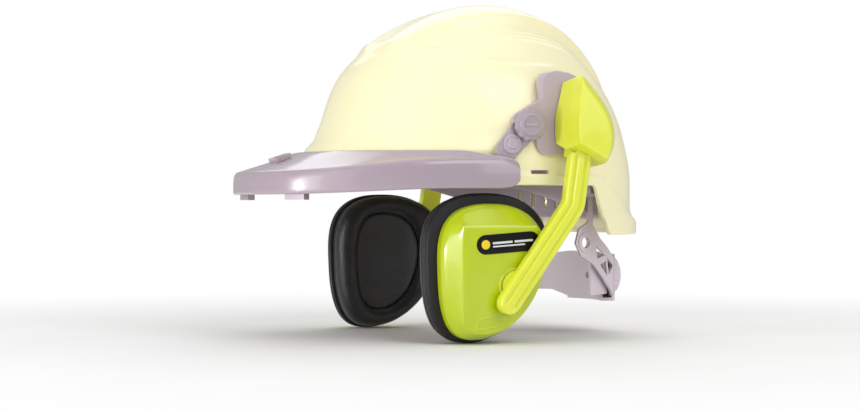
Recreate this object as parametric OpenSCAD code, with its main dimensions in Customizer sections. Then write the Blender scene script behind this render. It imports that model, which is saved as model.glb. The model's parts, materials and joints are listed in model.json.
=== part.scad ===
// Forestry helmet: cap shell with brow guard, helmet-mounted hearing
// protection and ratchet harness. Millimetres. +X wearer's left, -Y front,
// +Z up. The origin lies on the centre plane, between the ear lines, near
// the level of the headband's lower edge. The left side is drawn, the right
// side is its mirror image.

/* [Shell] */
// Half width of the shell above the side rim
shell_half_width = 101; // [99:0.5:102]
// Reach of the shell in front of its centre
shell_front = 124; // [121:0.5:124]
// Reach of the shell behind its centre
shell_rear = 110; // [107:0.5:111]
// Height of the crown above the shoulder plane
shell_height = 119.5; // [116:0.5:122]
// Wall thickness of the shell
shell_wall = 3; // [2.4:0.1:3.2]
// Height of the raised crest band
crest_rise = 5.5; // [3:0.5:7]
// Half width of the crest band where it is widest
crest_half_width = 50; // [46:1:52]
// Step of the front block below the shoulder line
shoulder_step = 3; // [1.5:0.5:3]
// Level of the side rim
rim_side = 14; // [13.5:0.5:15]
// Level of the rear skirt's lower edge
rim_rear = -20; // [-22:0.5:-16]

/* [Brow guard] */
// Half width of the brow guard over its ends
brow_half_width = 112; // [111.5:0.5:114]
// Reach of the brow guard in front of its ends
brow_reach = 160; // [154:1:166]
// Wall of the brow guard
brow_wall = 2.6; // [2:0.1:2.8]

/* [Hearing protection] */
// Half width of the backing plate
plate_half_width = 43.5; // [42:0.5:47]
// Half height of the backing plate
plate_half_height = 50.3; // [49:0.5:53.5]
// Half width of the opening in the cushion
open_half_width = 25.5; // [22:0.5:28]
// Half height of the opening in the cushion
open_half_height = 36.5; // [32:0.5:38]
// Width of the arm
arm_width = 15.4; // [14:0.2:15.6]

/* [Harness] */
// Gap from the shell's plan line to the headband
band_gap = 22.5; // [22:0.5:24]
// Height of the headband
band_height = 25; // [20:1:28]
// Radius of the ratchet knob
knob_radius = 15; // [12:0.5:16]

/* [Hidden] */
$fn = 64;

// colours used by more than one node
mauve = [0.70,0.64,0.69];
mauve_mid = [0.66,0.60,0.65];
mauve_dark = [0.62,0.57,0.61];
lime = [0.80,0.86,0.22];
charcoal = [0.3,0.3,0.32];

// shared places
plan_y = 8;             // centre of the shell's plan
seam_z = 20;            // level where dome and skirt meet
plan_power = 2.3;       // superellipse power of shell and brow guard in plan
stations = 72;          // round the shell
tilt = [-2, 54];        // brow guard pivot, in Y and Z
swivel = [32, 58];      // holder swivel, in Y and Z
hinge = [121, 42];      // arm hinge, in X and Z
ratchet = [0, -52];     // ratchet shaft, in X and Z
pivot = [110.5, -15.2, -54]; // cup pivot

// radii of the pins; their holes are slightly wider
tilt_pin_radius = 3;
stud_radius = 5;
hinge_pin_radius = 1.98;
shaft_radius = 2.5;

// ---- helpers
// smooth step from 0 at a to 1 at b
function smooth(a, b, x) = let (t = max(0, min(1, (x-a)/(b-a)))) t*t*(3-2*t);
function signed_pow(v, power) = sign(v)*pow(abs(v), power);
function unit(v) = v/norm(v);
function polar(radius, angle) = radius*[cos(angle), sin(angle)];
// extrusions of a (Y, Z) outline along X and of an (X, Z) outline along Y
module along_x(x0, x1) { translate([x0,0,0]) rotate([90,0,90]) linear_extrude(x1-x0) children(); }
module along_y(y0, y1) { translate([0,y1,0]) rotate([90,0,0]) linear_extrude(y1-y0) children(); }
// cylinders along X at [y, z] and along Y at [x, z]
module cyl_x(x0, x1, at, r) {
  translate([x0, at[0], at[1]]) rotate([0,90,0]) cylinder(h = x1-x0, r = r);
}
module cyl_y(y0, y1, at, r) {
  translate([at[0], y1, at[1]]) rotate([90,0,0]) cylinder(h = y1-y0, r = r);
}
module right() { mirror([1,0,0]) children(); }
module both_sides() { for (side = [0,1]) mirror([side,0,0]) children(); }
// joins sections of equal point count into a tube, as a closed ring or with end caps
module skin(sections, closed) {
  n = len(sections);
  m = len(sections[0]);
  sides = [for (i = [0:(closed ? n-1 : n-2)]) for (j = [0:m-1])
    let (here = i*m, next = ((i+1)%n)*m, k = (j+1)%m)
    each [[here+j, here+k, next+k], [here+j, next+k, next+j]]];
  caps = closed ? [] : [[for (j = [m-1:-1:0]) j], [for (j = [0:m-1]) (n-1)*m+j]];
  polyhedron([for (s = sections) each s], concat(sides, caps), convexity = 8);
}

// ---- shell: angle runs round the plan, rise goes from 0 at the seam to 1 at the crown
skirt_steps = [0, 0.35, 0.7];
dome_steps = [for (i = [0:27]) i/28.6];
// tongue of the side adapter, which enters a slot in the shell
tongue_y = 13;
tongue_z = 40.8;
tongue_size = [11, 22, 2.4];

function reach(angle) = sin(angle) < 0 ? shell_front : shell_rear;
function plan_radius(angle) =
  pow(pow(abs(cos(angle))/shell_half_width, plan_power)
    + pow(abs(sin(angle))/reach(angle), plan_power), -1/plan_power);
// power of the dome's upright section: side, front and rear differ
function dome_power(angle) =
  let (s = sin(angle), front = min(0,s)*min(0,s), rear = max(0,s)*max(0,s))
  2.25*(1-front-rear) + 1.8*front + 1.85*rear;
// how far a dome line has gone in and up at a rise, as fractions
function dome_in(angle, rise) = pow(max(0,cos(90*rise)), 2/dome_power(angle));
function dome_up(angle, rise) = pow(sin(90*rise), 2/dome_power(angle));
function dome_point(angle, rise) = let (r = plan_radius(angle)*dome_in(angle, rise))
  [r*cos(angle), plan_y + r*sin(angle), seam_z + shell_height*dome_up(angle, rise)];
function rim_z(y) = rim_side + 5*smooth(-45,-90,y) + (rim_rear-rim_side)*smooth(54,67,y);
// upper edge of the raised lip that follows the rim and sweeps down at the rear
function lip_z(y) = y < 50 ? rim_z(y) + 7 : 21 - 36*smooth(50,118,y);
function skirt_point(angle, part) =
  let (r = plan_radius(angle), y = plan_y + r*sin(angle), low = rim_z(y))
  [r*cos(angle), y, low + (seam_z-low)*part];
// outward direction, from an ellipsoid of the shell's size
function outward(p, angle) = unit([p.x/pow(shell_half_width,2),
  (p.y-plan_y)/pow(reach(angle),2), max(0,p.z-seam_z)/pow(shell_height,2)]);
// the crest narrows towards both ends
function crest_half(y) = crest_half_width - 0.0029*(y-7)*(y-7);
// the front block leans back, is fullest just under its shoulder and flares at its foot
function block_depth(z) = 7*smooth(56,98,z) - 2.9 + 5.9*(1-smooth(34,50,z));
// height of the surface detail above the plain shell
function relief(p) = let (x = abs(p.x), y = p.y, z = p.z,
    lip = lip_z(y),
    crest = crest_half(y),
    shoulder = 106 - 10*smooth(-80,0,y),
    front = 1 - smooth(-60,0,y),
    crest_band = crest_rise*(1-smooth(crest-4,crest+5,x))
      * (y < 0 ? smooth(shoulder-3,shoulder+8,z) : smooth(50,96,z)),
    block = (block_depth(z)*front + shoulder_step*(1-front))
      * (1-smooth(shoulder-3,shoulder+3+8*front,z))*(1-smooth(15,48,y)),
    rear_hollow = 1.6*smooth(14,45,z)*smooth(40,90,y),
    rear_flare = 3*smooth(-3,-12,z)*smooth(30,60,y),
    rim_lip = 1.6*smooth(lip+0.5,lip-1,z))
  crest_band + block - rear_hollow + rear_flare + rim_lip;
// one row of points per station, from the rim up, at a depth below the outer surface
function shell_rows(depth) = [for (i = [0:stations-1]) let (angle = 360*i/stations)
  [for (p = concat([for (part = skirt_steps) skirt_point(angle, part)],
                   [for (rise = dome_steps) dome_point(angle, rise)]))
    p + (relief(p)-depth)*outward(p, angle)]];
module shell_body() {
  outer = shell_rows(0);
  inner = shell_rows(shell_wall);
  m = len(outer[0]);
  crown_z = seam_z + shell_height + crest_rise;
  inner_start = stations*m;
  top = 2*inner_start;
  bottom = top + 1;
  points = concat([for (row = outer) each row], [for (row = inner) each row],
    [[0, plan_y, crown_z], [0, plan_y, crown_z-shell_wall]]);
  // a and b start this and the next outer row, c and d the inner rows
  faces = [for (i = [0:stations-1])
    let (a = i*m, b = ((i+1)%stations)*m, c = inner_start+a, d = inner_start+b)
    each concat(
      [for (k = [0:m-2]) each [[a+k, a+k+1, b+k+1], [a+k, b+k+1, b+k]]],
      [for (k = [0:m-2]) each [[c+k, d+k+1, c+k+1], [c+k, d+k, d+k+1]]],
      [[a, b, d], [a, d, c]],
      [[a+m-1, top, b+m-1], [c+m-1, d+m-1, bottom]])];
  polyhedron(points, faces, convexity = 6);
}
module shell() color([0.98,0.95,0.80]) difference() {
  shell_body();
  for (s = [-1,1]) {
    // open accessory slot
    translate([s*shell_half_width-10, 2.5, 21]) cube([20, 13.2, 2.6]);
    // slot for the adapter's tongue
    translate([s*shell_half_width-10, tongue_y-1, tongue_z-0.8])
      cube([20, tongue_size.y+2, tongue_size.z+1.6]);
  }
}

// ---- headband and cradle
anchor_angles = [-90, -32, 32, 90, 148, 212]; // strap ends round the plan
band_wall = 2;
strap_half_width = 7;
strap_thickness = 1.1;

function band_radius(angle) = plan_radius(angle) - band_gap;
function band_low(y) = 16 - 26*smooth(-30,100,y);
// low and high are measured from the headband's lower edge
function band_section(angle, r0, r1, low, high) = let (base = band_low(plan_y + r1*sin(angle)))
  [for (p = [[r1,low], [r1,high], [r0,high], [r0,low]])
    [p[0]*cos(angle), plan_y + p[0]*sin(angle), base + p[1]]];
function key_z(angle) = band_low(plan_y + band_radius(angle)*sin(angle)) + 10.5;
module round_plan(angle) { translate([0,plan_y,0]) rotate([0,0,angle]) children(); }
module headband() color(mauve) union() {
  skin([for (i = [0:stations-1]) let (angle = 360*i/stations, r = band_radius(angle))
    band_section(angle, r-band_wall, r, 0, band_height)], true);
  // brackets that reach out under the strap keys
  for (angle = anchor_angles) {
    start = band_radius(angle) - 0.9;
    round_plan(angle) translate([start, -4.5, key_z(angle)-2.6])
      cube([plan_radius(angle)-5-start, 9, 2.4]);
  }
}
module sweatband() color([0.25,0.24,0.26])
  skin([for (i = [0:30]) let (angle = -155+130*i/30, r = band_radius(angle)-band_wall-0.3)
    band_section(angle, r-3, r, 1.5, band_height-3)], false);
module strap_keys() color(mauve)
  for (angle = anchor_angles) {
    r = plan_radius(angle);
    z = key_z(angle);
    round_plan(angle) difference() {
      translate([r-13.4, -9, z]) cube([7.6, 18, 11]);
      translate([r-11.2, -7.6, z+1.6]) cube([2.8, 15.2, 14]);
    }
  }
// one webbing strap from side to side: it follows the dome's own curve, further in;
// lift raises its middle, so that crossing straps stack
module strap(angle, lift) {
  top = 118 + lift;
  w = strap_half_width;
  t = strap_thickness;
  skin([for (i = [0:44])
    let (out = abs(i-22)/22, rise = 1-out, side = i < 22 ? 1 : -1,
      end = i < 22 ? angle : angle+180,
      r = (plan_radius(end)-9.8)*dome_in(end, rise),
      low = key_z(end) + 3.4,
      z = low + (top-low)*dome_up(end, rise))
    [for (q = [[0,-w], [0,w], [t,w], [t,-w]]) let (along = side*(r+q[0]*out))
      [along*cos(angle) - q[1]*sin(angle), plan_y + along*sin(angle) + q[1]*cos(angle),
       z + q[0]*(1-out*0.6)]]], false);
}
module cradle_straps() color([0.80,0.76,0.79]) {
  strap(-90, 0);
  strap(-32, 1.7);
  strap(32, 3.4);
}

// ---- nape yoke and ratchet, built on an upright arc behind the head
nape_y = 38;            // centre of the nape arc
housing_z = [-70, -36]; // lower and upper edge of housing and cover
housing_half_angle = 24;
// columns Y, Z
yoke_outline = [[64.6,7],[69,7],[69.5,-14],[78,-24],[96,-36],[103,-39],[103,-66],[98,-64],
  [86,-56],[70,-42],[58,-36],[53,-27],[56,-17],[64.6,-12]];
yoke_windows = [[[73,-29],[84,-36],[74.5,-38]], [[87,-37.5],[99,-44],[90,-50]],
  [[85,-40],[87.5,-51],[77.5,-42.5]]];
// columns X, Z
pad_outline = [[-50,-45],[-38,-38.4],[-22,-36.4],[22,-36.4],[38,-38.4],[50,-45],
  [50,-51],[38,-61],[22,-66.6],[-22,-66.6],[-38,-61],[-50,-51]];

module arc_tube(r0, r1, z0, z1) translate([0,nape_y,z0]) difference() {
  cylinder(h = z1-z0, r = r1, $fn = 96);
  translate([0,0,-1]) cylinder(h = z1-z0+2, r = r0, $fn = 96);
}
// wedge about the nape arc's centre; angles run from +Y, negative to the wearer's left
module wedge(a0, a1, r) translate([0,nape_y,0]) rotate([0,0,90])
  linear_extrude(200, center = true)
    polygon([[0,0], polar(r, a0), polar(1.1*r, (2*a0+a1)/3), polar(1.1*r, (a0+2*a1)/3),
      polar(r, a1)]);
// round boss or hole square to the nape arc, for the chin strap's eyelet
module eyelet(r0, r1, r) translate([0,nape_y,0]) rotate([0,0,19]) cyl_x(r0, r1, [0,-26.5], r);
module yoke() difference() {
  union() {
    intersection() {
      arc_tube(71, 73.4, -70, 10);
      along_x(10, 80) difference() {
        polygon(yoke_outline);
        for (window = yoke_windows) polygon(window);
      }
    }
    eyelet(70.6, 74, 7);
  }
  eyelet(60, 80, 4);
}
module nape_yoke_left() color(mauve) yoke();
module nape_yoke_right() color(mauve) right() yoke();
// crescent pad that rests on the nape
module nape_pad() intersection() {
  arc_tube(61.6, 64.05, -72, -34);
  wedge(-49, 49, 120);
  along_y(38, 110) offset(r = 2) polygon(pad_outline);
}
module housing_arc(r0, r1) intersection() {
  arc_tube(r0, r1, housing_z[0], housing_z[1]);
  wedge(-housing_half_angle, housing_half_angle, 110);
}
module ratchet_housing() color(mauve) difference() {
  union() {
    housing_arc(64, 72.4);
    nape_pad();
  }
  // channel for the tails, open at the back and at both ends
  intersection() {
    arc_tube(66, 73, housing_z[0]+2.2, housing_z[1]-2.2);
    wedge(-30, 30, 110);
  }
  cyl_y(96, 108, ratchet, shaft_radius+0.05);
}
module ratchet_cover() color(mauve) difference() {
  housing_arc(72.6, 74.8);
  cyl_y(105, 116, ratchet, shaft_radius+0.05);
}
// toothed tail with a full-height root and a narrower tongue
module tail(tongue_low, tongue_height, teeth_low) intersection() {
  arc_tube(67.6, 69.2, -65, -39);
  union() {
    intersection() {
      wedge(-62, -34, 120);
      translate([-100,0,-64]) cube([200,140,24]);
    }
    intersection() {
      wedge(-36, 14, 120);
      translate([-100,0,tongue_low]) cube([200,140,tongue_height]);
    }
    for (i = [0:8]) translate([0,nape_y,0]) rotate([0,0,12.5-2.6*i])
      translate([-0.6,60,teeth_low]) cube([1.2,12,1.2]);
  }
}
// the left tail's tongue runs above the pinion, the right one below it
module nape_tail_left() color(mauve_dark) tail(-46.6, 6, -47.4);
module nape_tail_right() color(mauve_dark) right() tail(-64, 6.6, -57.8);
// corners of one pinion tooth: radius, angle from its middle
pinion_tooth = [[3.3,-12], [4.2,-7], [4.2,7], [3.3,12]];
module ratchet_pinion() color([0.86,0.84,0.86]) union() {
  cyl_y(102.6, 116.4, ratchet, shaft_radius);
  translate([0,0,ratchet[1]]) along_y(104.6, 108)
    polygon([for (i = [0:8]) for (q = pinion_tooth) polar(q[0], 40*i+q[1])]);
}
module ratchet_knob() color(mauve) difference() {
  union() {
    cyl_y(113.4, 120, ratchet, knob_radius);
    cyl_y(120, 121.6, ratchet, knob_radius-2);
  }
  cyl_y(112, 116.5, ratchet, shaft_radius);
  for (i = [0:17]) translate([0,112,ratchet[1]]) rotate([0,20*i+10,0])
    translate([knob_radius+0.6,0,0]) rotate([-90,0,0]) cylinder(h = 12, r = 1.5, $fn = 16);
}

// ---- brow guard: swept from the right end (-180) round the front to the left end (0)
function brow_outer(angle, inset) =
  [(brow_half_width-inset)*signed_pow(cos(angle), 2/plan_power),
   -9 + (brow_reach-inset)*signed_pow(sin(angle), 2/plan_power)];
// plan line beside the shell, seen from the shell's centre in the same direction
function brow_inner(angle) =
  let (o = brow_outer(angle, 0), a = atan2(o.y-plan_y, o.x))
  [0, plan_y] + polar(plan_radius(a)+shoulder_step+3, a);
// an upright rim with a flange in to the shell; where the gap to the shell is narrow
// the flange's points fold on to the rim, at [inset, z]
function brow_section(angle) = let (
    front = smooth(0.2, 1, abs(sin(angle))),
    top = 32.5 - 8.5*front,
    low = 11 - 4*front,
    shell_z = 37 + 0.5*front,
    w = brow_wall,
    gap = norm(brow_outer(angle,0)-brow_inner(angle)),
    bend_in = min(7, gap*0.5),
    open = smooth(5.5, 11, gap),
    mid = top + (shell_z-top)*0.38,
    rim = function(inset, z) concat(brow_outer(angle, inset), z),
    flange = function(part, z, folded)
      concat(brow_outer(angle, bend_in)*(1-part) + brow_inner(angle)*part, z)*open
      + rim(folded[0], folded[1])*(1-open))
  [rim(0.8, low), rim(0, low+1.6), rim(0, top-6), rim(1.2, top-2),
   flange(-0.12, top-0.1, [1.5,top-1]), flange(0.4, mid, [1.7,top-0.5]),
   flange(1, shell_z, [1.9,top]), flange(1, shell_z-1.2, [2.1,top]),
   flange(0.95, shell_z-w, [2.3,top-0.4]), flange(0.4, mid-w, [2.5,top-0.9]),
   flange(0, top-w, [w,top-1.6]), rim(w+0.1*open, top-5.5),
   rim(w, low+1.6), rim(w-0.4, low)];
module brow_guard() color([0.72,0.66,0.71])
  skin([for (i = [0:60]) brow_section(-180 + 180*i/60)], false);
// trapezoid tab with a shallow recess, on the slope of the guard
module visor_latch() color(mauve_mid) translate([0,-140,31.4]) rotate([19.2,0,0]) difference() {
  linear_extrude(3) polygon([[-9,-6],[9,-6],[6,6],[-6,6]]);
  translate([0,0,1.6]) linear_extrude(3) polygon([[-5,-4],[5,-4],[3,3.4],[-3,3.4]]);
}
clip_at = [54.4, -147.4]; // left clip, in X and Y
module visor_clips() color(mauve_mid) both_sides() difference() {
  translate([clip_at.x, clip_at.y, 3.5]) rotate([0,0,35]) translate([-8,-3,0]) cube([16, 6, 10]);
  translate([clip_at.x, clip_at.y, 2]) cylinder(h = 20, r = 2);
}

// ---- links and knobs that carry the brow guard
// outline round two circles, a and b
function capsule(a, a_radius, b, b_radius) =
  let (d = b-a, t = atan2(d.y,d.x), k = acos((a_radius-b_radius)/norm(d)))
  concat([for (i = [0:24]) a + polar(a_radius, t+k + (360-2*k)*i/24)],
         [for (i = [0:24]) b + polar(b_radius, t-k + 2*k*i/24)]);
module guard_link() difference() {
  along_x(106.4, 108.1) union() {
    polygon(capsule(tilt, 9.4, [-21,29], 5.6));
    polygon([[-26,34.8],[-24,41],[-10,58.8],[-4,50],[-17,34.8]]);
  }
  cyl_x(105, 110, tilt, tilt_pin_radius+0.05);
}
module guard_link_left() color(mauve) guard_link();
module guard_link_right() color(mauve) right() guard_link();
module tilt_pins() color(mauve_dark) both_sides() cyl_x(102.4, 113, tilt, tilt_pin_radius);
module tilt_knob() difference() {
  union() {
    cyl_x(109.3, 113.6, tilt, 11.2);
    cyl_x(113.6, 115.4, tilt, 8);
  }
  cyl_x(109, 113.1, tilt, tilt_pin_radius+0.05);
  for (i = [0:11]) translate([112,tilt[0],tilt[1]]) rotate([30*i,0,0])
    translate([0,12,0]) rotate([0,90,0]) cylinder(h = 5, r = 1.8, $fn = 16);
}
module tilt_knob_left() color(mauve) tilt_knob();
module tilt_knob_right() color(mauve) right() tilt_knob();

// ---- side adapter between shell and holder
// rounded corners: centre [Y, Z], radius
adapter_corners = [[tilt,10], [[22,80],11], [[40,76],9], [[42,44],9], [[14,42],8]];
// columns Y, Z
adapter_outline = [[-8,61],[-3.2,64.5],[10,72],[10,84],[13,89],[20,91],[30,90],[42,84.8],
  [49,76],[51,44],[42,35],[14,34],[3,46]];
// leaning inner side, columns X, Z
adapter_profile = [[105.2,20],[105.2,46],[103.6,54],[94,92],[94,96],[110,96],[110,20]];
module side_adapter() difference() {
  union() {
    intersection() {
      along_x(90, 106.1) union() {
        for (c = adapter_corners) translate(c[0]) circle(r = c[1]);
        polygon(adapter_outline);
      }
      along_y(-20, 60) polygon(adapter_profile);
    }
    translate([95, tongue_y, tongue_z]) cube(tongue_size);
  }
  cyl_x(90, 110, swivel, stud_radius+0.02);
  cyl_x(90, 110, tilt, tilt_pin_radius+0.02);
}
module side_adapter_left() color(mauve) side_adapter();
module side_adapter_right() color(mauve) right() side_adapter();
module swivel_stud() union() {
  cyl_x(103.4, 109.7, swivel, stud_radius);
  cyl_x(109.7, 111.6, swivel, 8);
}
module swivel_stud_left() color([0.35,0.35,0.37]) swivel_stud();
module swivel_stud_right() color([0.35,0.35,0.37]) right() swivel_stud();

// ---- holder cap: hollow, open below; outlines from the shell outwards, columns Y, Z
cap_inner = [[33,23],[24,30],[20.4,36],[19.4,43],[18.9,52],[19.3,60],[21.3,68],[23.4,77],
  [25.3,83.3],[29.5,83.6],[34,80.5],[39.5,74],[45.1,66],[49.2,58.6],[51.4,50],[51.6,43],
  [50,35],[45.6,28],[40,24]];
cap_middle = [[34,23],[27,30],[23.6,36],[22.6,43],[22.1,52],[22.4,60],[23.6,70],[25,79],
  [26.7,86.3],[28.6,86],[31.6,83.6],[38.6,76.2],[45.1,67.7],[49.6,59.6],[52.1,51],[52.4,44],
  [50.7,36],[46,28.5],[40,24]];
cap_outer = [[36,25],[28,31],[24.6,37],[23.2,44],[22.8,52],[23,60],[23.7,70],[24.5,78.2],
  [25.4,80.2],[26.8,80.2],[29.6,77.4],[35.6,70.4],[41.4,62.8],[45,55.6],[46.8,48.4],[47,43],
  [45.6,36.4],[43,30],[40,26]];
module cap_hull(x0, x1, x2, inset) hull() {
  along_x(x0, x0+0.1) offset(delta = -inset) polygon(cap_inner);
  along_x(x1, x1+0.1) offset(delta = -inset) polygon(cap_middle);
  along_x(x2-0.1, x2) offset(delta = -inset) polygon(cap_outer);
}
module holder_cap() difference() {
  cap_hull(106.9, 130, 137, 0);
  cap_hull(109.4, 128.6, 134.6, 2.3);
  // slanting cut that opens the foot
  translate([107,20,35.6]) rotate([-27.5,0,0]) rotate([0,-12.4,0])
    translate([-60,-60,-80]) cube([140,140,80]);
  // notch at the front of the foot
  along_y(10, 25.6) polygon([[100,30],[100,43],[106,42.1],[121,36.6],[123,30]]);
  cyl_x(100, 112, swivel, stud_radius+0.06);
  cyl_y(22.3, 56, hinge, hinge_pin_radius+0.02);
}
module holder_cap_left() color(lime) holder_cap();
module holder_cap_right() color(lime) right() holder_cap();
module hinge_pin() cyl_y(22.4, 50.2, hinge, hinge_pin_radius);
module hinge_pin_left() color([0.6,0.6,0.62]) hinge_pin();
module hinge_pin_right() color([0.6,0.6,0.62]) right() hinge_pin();
// two coils round the hinge pin and an upright leg
module arm_spring() union() {
  for (i = [0:1]) translate([hinge[0], 42.4+1.7*i, hinge[1]]) rotate([90,0,0])
    rotate_extrude($fn = 40) translate([3.6,0]) circle(r = 0.8, $fn = 16);
  translate([hinge[0]-4.2, 41.7, hinge[1]]) cube([1.2, 2.9, 12]);
}
module arm_spring_left() color(charcoal) arm_spring();
module arm_spring_right() color(charcoal) right() arm_spring();

// ---- arm: a straight upper strap and a straight lower strap, both in Y-Z
arm_x0 = 119.5;
arm_x1 = 127.5;
arm_eye = [28.1, 27];
arm_bend = [24.2, -0.4];
arm_tip = [-23.1, -64.8];
upper_dir = unit(arm_bend-arm_eye);
lower_dir = unit(arm_tip-arm_bend);
arm_lean = atan2(arm_bend[0]-arm_tip[0], arm_bend[1]-arm_tip[1]);

function rot90(v) = [-v.y, v.x];
// offset of a corner between two legs with normals n1 and n2, per unit of leg offset
function mitre(n1, n2) = (n1+n2)/(1+n1*n2);
// outline of a two-leg strap a-b-c with round ends and a round outer bend
function strap_outline(a, b, c, width, steps) =
  let (n1 = rot90(unit(b-a)), n2 = rot90(unit(c-b)),
    a1 = atan2(n1.y,n1.x), a2 = atan2(n2.y,n2.x), h = width/2)
  concat([b - h*mitre(n1, n2)],
    [for (i = [0:steps]) c + polar(h, a2+180+180*i/steps)],
    [for (i = [0:4]) b + polar(h, a2+(a1-a2)*i/4)],
    [for (i = [0:steps]) a + polar(h, a1+180*i/steps)]);
// groove that runs along the arm, to one side of its middle line
function groove_outline(aside) = let (n1 = rot90(upper_dir), n2 = rot90(lower_dir))
  strap_outline(arm_eye + aside*n1 - 5*upper_dir, arm_bend + aside*mitre(n1, n2),
    arm_tip + aside*n2 + 2*lower_dir, 1.8, 8);
// lower arm frame: distance along the arm from the cup pivot, towards the tip
module on_arm(distance) {
  translate([0, pivot.y+distance*lower_dir[0], pivot.z+distance*lower_dir[1]])
    rotate([-arm_lean,0,0]) children();
}
module muff_arm() difference() {
  union() {
    along_x(arm_x0, arm_x1) offset(r = -8) offset(r = 8) union() {
      polygon(strap_outline(arm_eye, arm_bend, arm_tip, arm_width, 20));
      polygon([[18.9,20],[34.3,20],[36.1,33.2],[35,34.5],[21.8,34.5],[20.6,33.2]]);
    }
    // neck and hinge barrel
    along_x(arm_x0, arm_x1) polygon([[26.3,33],[35.6,33],[38.4,42],[27.4,42]]);
    cyl_y(26.1, 39.9, hinge, 5.6);
  }
  cyl_y(20, 46, hinge, hinge_pin_radius+0.07);
  for (aside = [-3.1,3.1]) along_x(arm_x1-0.8, arm_x1+1) polygon(groove_outline(aside));
  // stepped slot for the cup slider: wide inside, narrow on the head's side
  on_arm(3.2) translate([122,-5.2,-12.7]) cube([3,10.4,25.4]);
  on_arm(3.2) translate([119,-3,-12.7]) cube([4,6,25.4]);
}
module muff_arm_left() color([0.87,0.89,0.40]) muff_arm();
module muff_arm_right() color([0.87,0.89,0.40]) right() muff_arm();

// ---- cup pivot: the slider's upright pin and the block's level pin cross here
pivot_yz = [pivot.y, pivot.z];
pivot_xz = [pivot.x, pivot.z];
slider_pin_radius = 2.6;
block_pin_radius = 2.2;
module cup_slider() union() {
  on_arm(0) translate([122.3,-4.8,-4.5]) cube([2.4,9.6,9]);
  on_arm(0) translate([111,-2.5,-2.5]) cube([11.4,5,5]);
  translate(pivot-[0,0,5.8]) cylinder(h = 11.6, r = slider_pin_radius);
  cyl_x(118.85, 119.35, pivot_yz, 10.4); // pad that covers the pocket
}
module cup_slider_left() color(lime) cup_slider();
module cup_slider_right() color(lime) right() cup_slider();
module swivel_block() difference() {
  union() {
    translate(pivot-[4.4,6,6.2]) cube([8.2, 12, 12.4]);
    cyl_y(pivot.y-9.6, pivot.y+9.6, pivot_xz, block_pin_radius);
  }
  translate(pivot-[0,0,6]) cylinder(h = 12, r = slider_pin_radius+0.05);
  translate(pivot-[0,4.6,4.8]) cube([10, 9.2, 9.6]);
}
module swivel_block_left() color(charcoal) swivel_block();
module swivel_block_right() color(charcoal) right() swivel_block();

// ---- cup: egg-shaped outline, widest above its middle, with its foot further forward
cup_centre = [-28, -43]; // in Y and Z
cushion_x0 = 73;
cushion_x1 = 90;
plate_x1 = 97;
cup_x1 = 116.5;
label_length = 33;       // between the centres of its round ends
label_height = 13;

function cup_outline(half_width, half_height, power, shift) = [for (i = [0:71])
  let (c = signed_pow(cos(5*i), 2/power), s = signed_pow(sin(5*i), 2/power))
  cup_centre + shift + [half_width*c*(1+0.19*s) + half_height*s*(0.122-0.155*s), half_height*s]];
module cup_slab(x0, x1, half_width, half_height, power = 2.35, shift = [1,0.7])
  along_x(x0, x1) polygon(cup_outline(half_width, half_height, power, shift));
// flat outer face, cut straight at the top
module cup_face(x0, x1, inset) along_x(x0, x1) intersection() {
  polygon(cup_outline(plate_half_width-11.8-inset, plate_half_height-9.8-inset, 2.5, [2,-2.2]));
  translate([-53+inset,-100+inset]) square([100, 86.2-2*inset]);
}
module cup_shell() difference() {
  union() {
    difference() {
      hull() {
        cup_slab(plate_x1+0.05, plate_x1+6, plate_half_width-6, plate_half_height-4.6,
          shift = [2,-1.7]);
        cup_slab(plate_x1+9.5, plate_x1+9.6, plate_half_width-7.4, plate_half_height-5.6,
          shift = [2,-1.9]);
        cup_face(cup_x1-0.1, cup_x1, 0);
      }
      hull() {
        cup_slab(plate_x1-1, plate_x1+6, plate_half_width-8.4, plate_half_height-7,
          shift = [2,-1.7]);
        cup_slab(plate_x1+8.5, plate_x1+8.6, plate_half_width-10, plate_half_height-8.4,
          shift = [2,-1.9]);
        cup_face(cup_x1-2.5, cup_x1-2.4, 2.4);
      }
    }
    // walls and collar of the pivot pocket
    translate(pivot-[7.4,10.6,9.2]) cube([cup_x1-pivot.x+7.4, 21.2, 18.4]);
    cyl_x(cup_x1-1, cup_x1+1.1, pivot_yz, 11.8);
  }
  translate(pivot-[5.6,7.2,7.2]) cube([14, 14.4, 14.4]);
  cyl_y(pivot.y-9.8, pivot.y+9.8, pivot_xz, block_pin_radius+0.05);
}
module cup_shell_left() color([0.74,0.80,0.22]) cup_shell();
module cup_shell_right() color([0.74,0.80,0.22]) right() cup_shell();
module cup_label() along_x(cup_x1+0.02, cup_x1+0.4) translate([-20.5,-25.2]) rotate(4) union() {
  square([label_length, label_height], center = true);
  for (s = [-1,1]) translate([s*label_length/2,0]) circle(r = label_height/2);
}
module cup_label_left() color([0.08,0.08,0.08]) cup_label();
module cup_label_right() color([0.08,0.08,0.08]) right() cup_label();
module backing_plate() difference() {
  union() {
    cup_slab(cushion_x1+0.05, plate_x1-1.2, plate_half_width, plate_half_height);
    cup_slab(plate_x1-1.4, plate_x1, plate_half_width-1, plate_half_height-1);
  }
  cup_slab(cushion_x1-1, plate_x1+1, open_half_width+4, open_half_height+4, 2.3);
}
module backing_plate_left() color([0.16,0.16,0.18]) backing_plate();
module backing_plate_right() color([0.16,0.16,0.18]) right() backing_plate();
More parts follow.
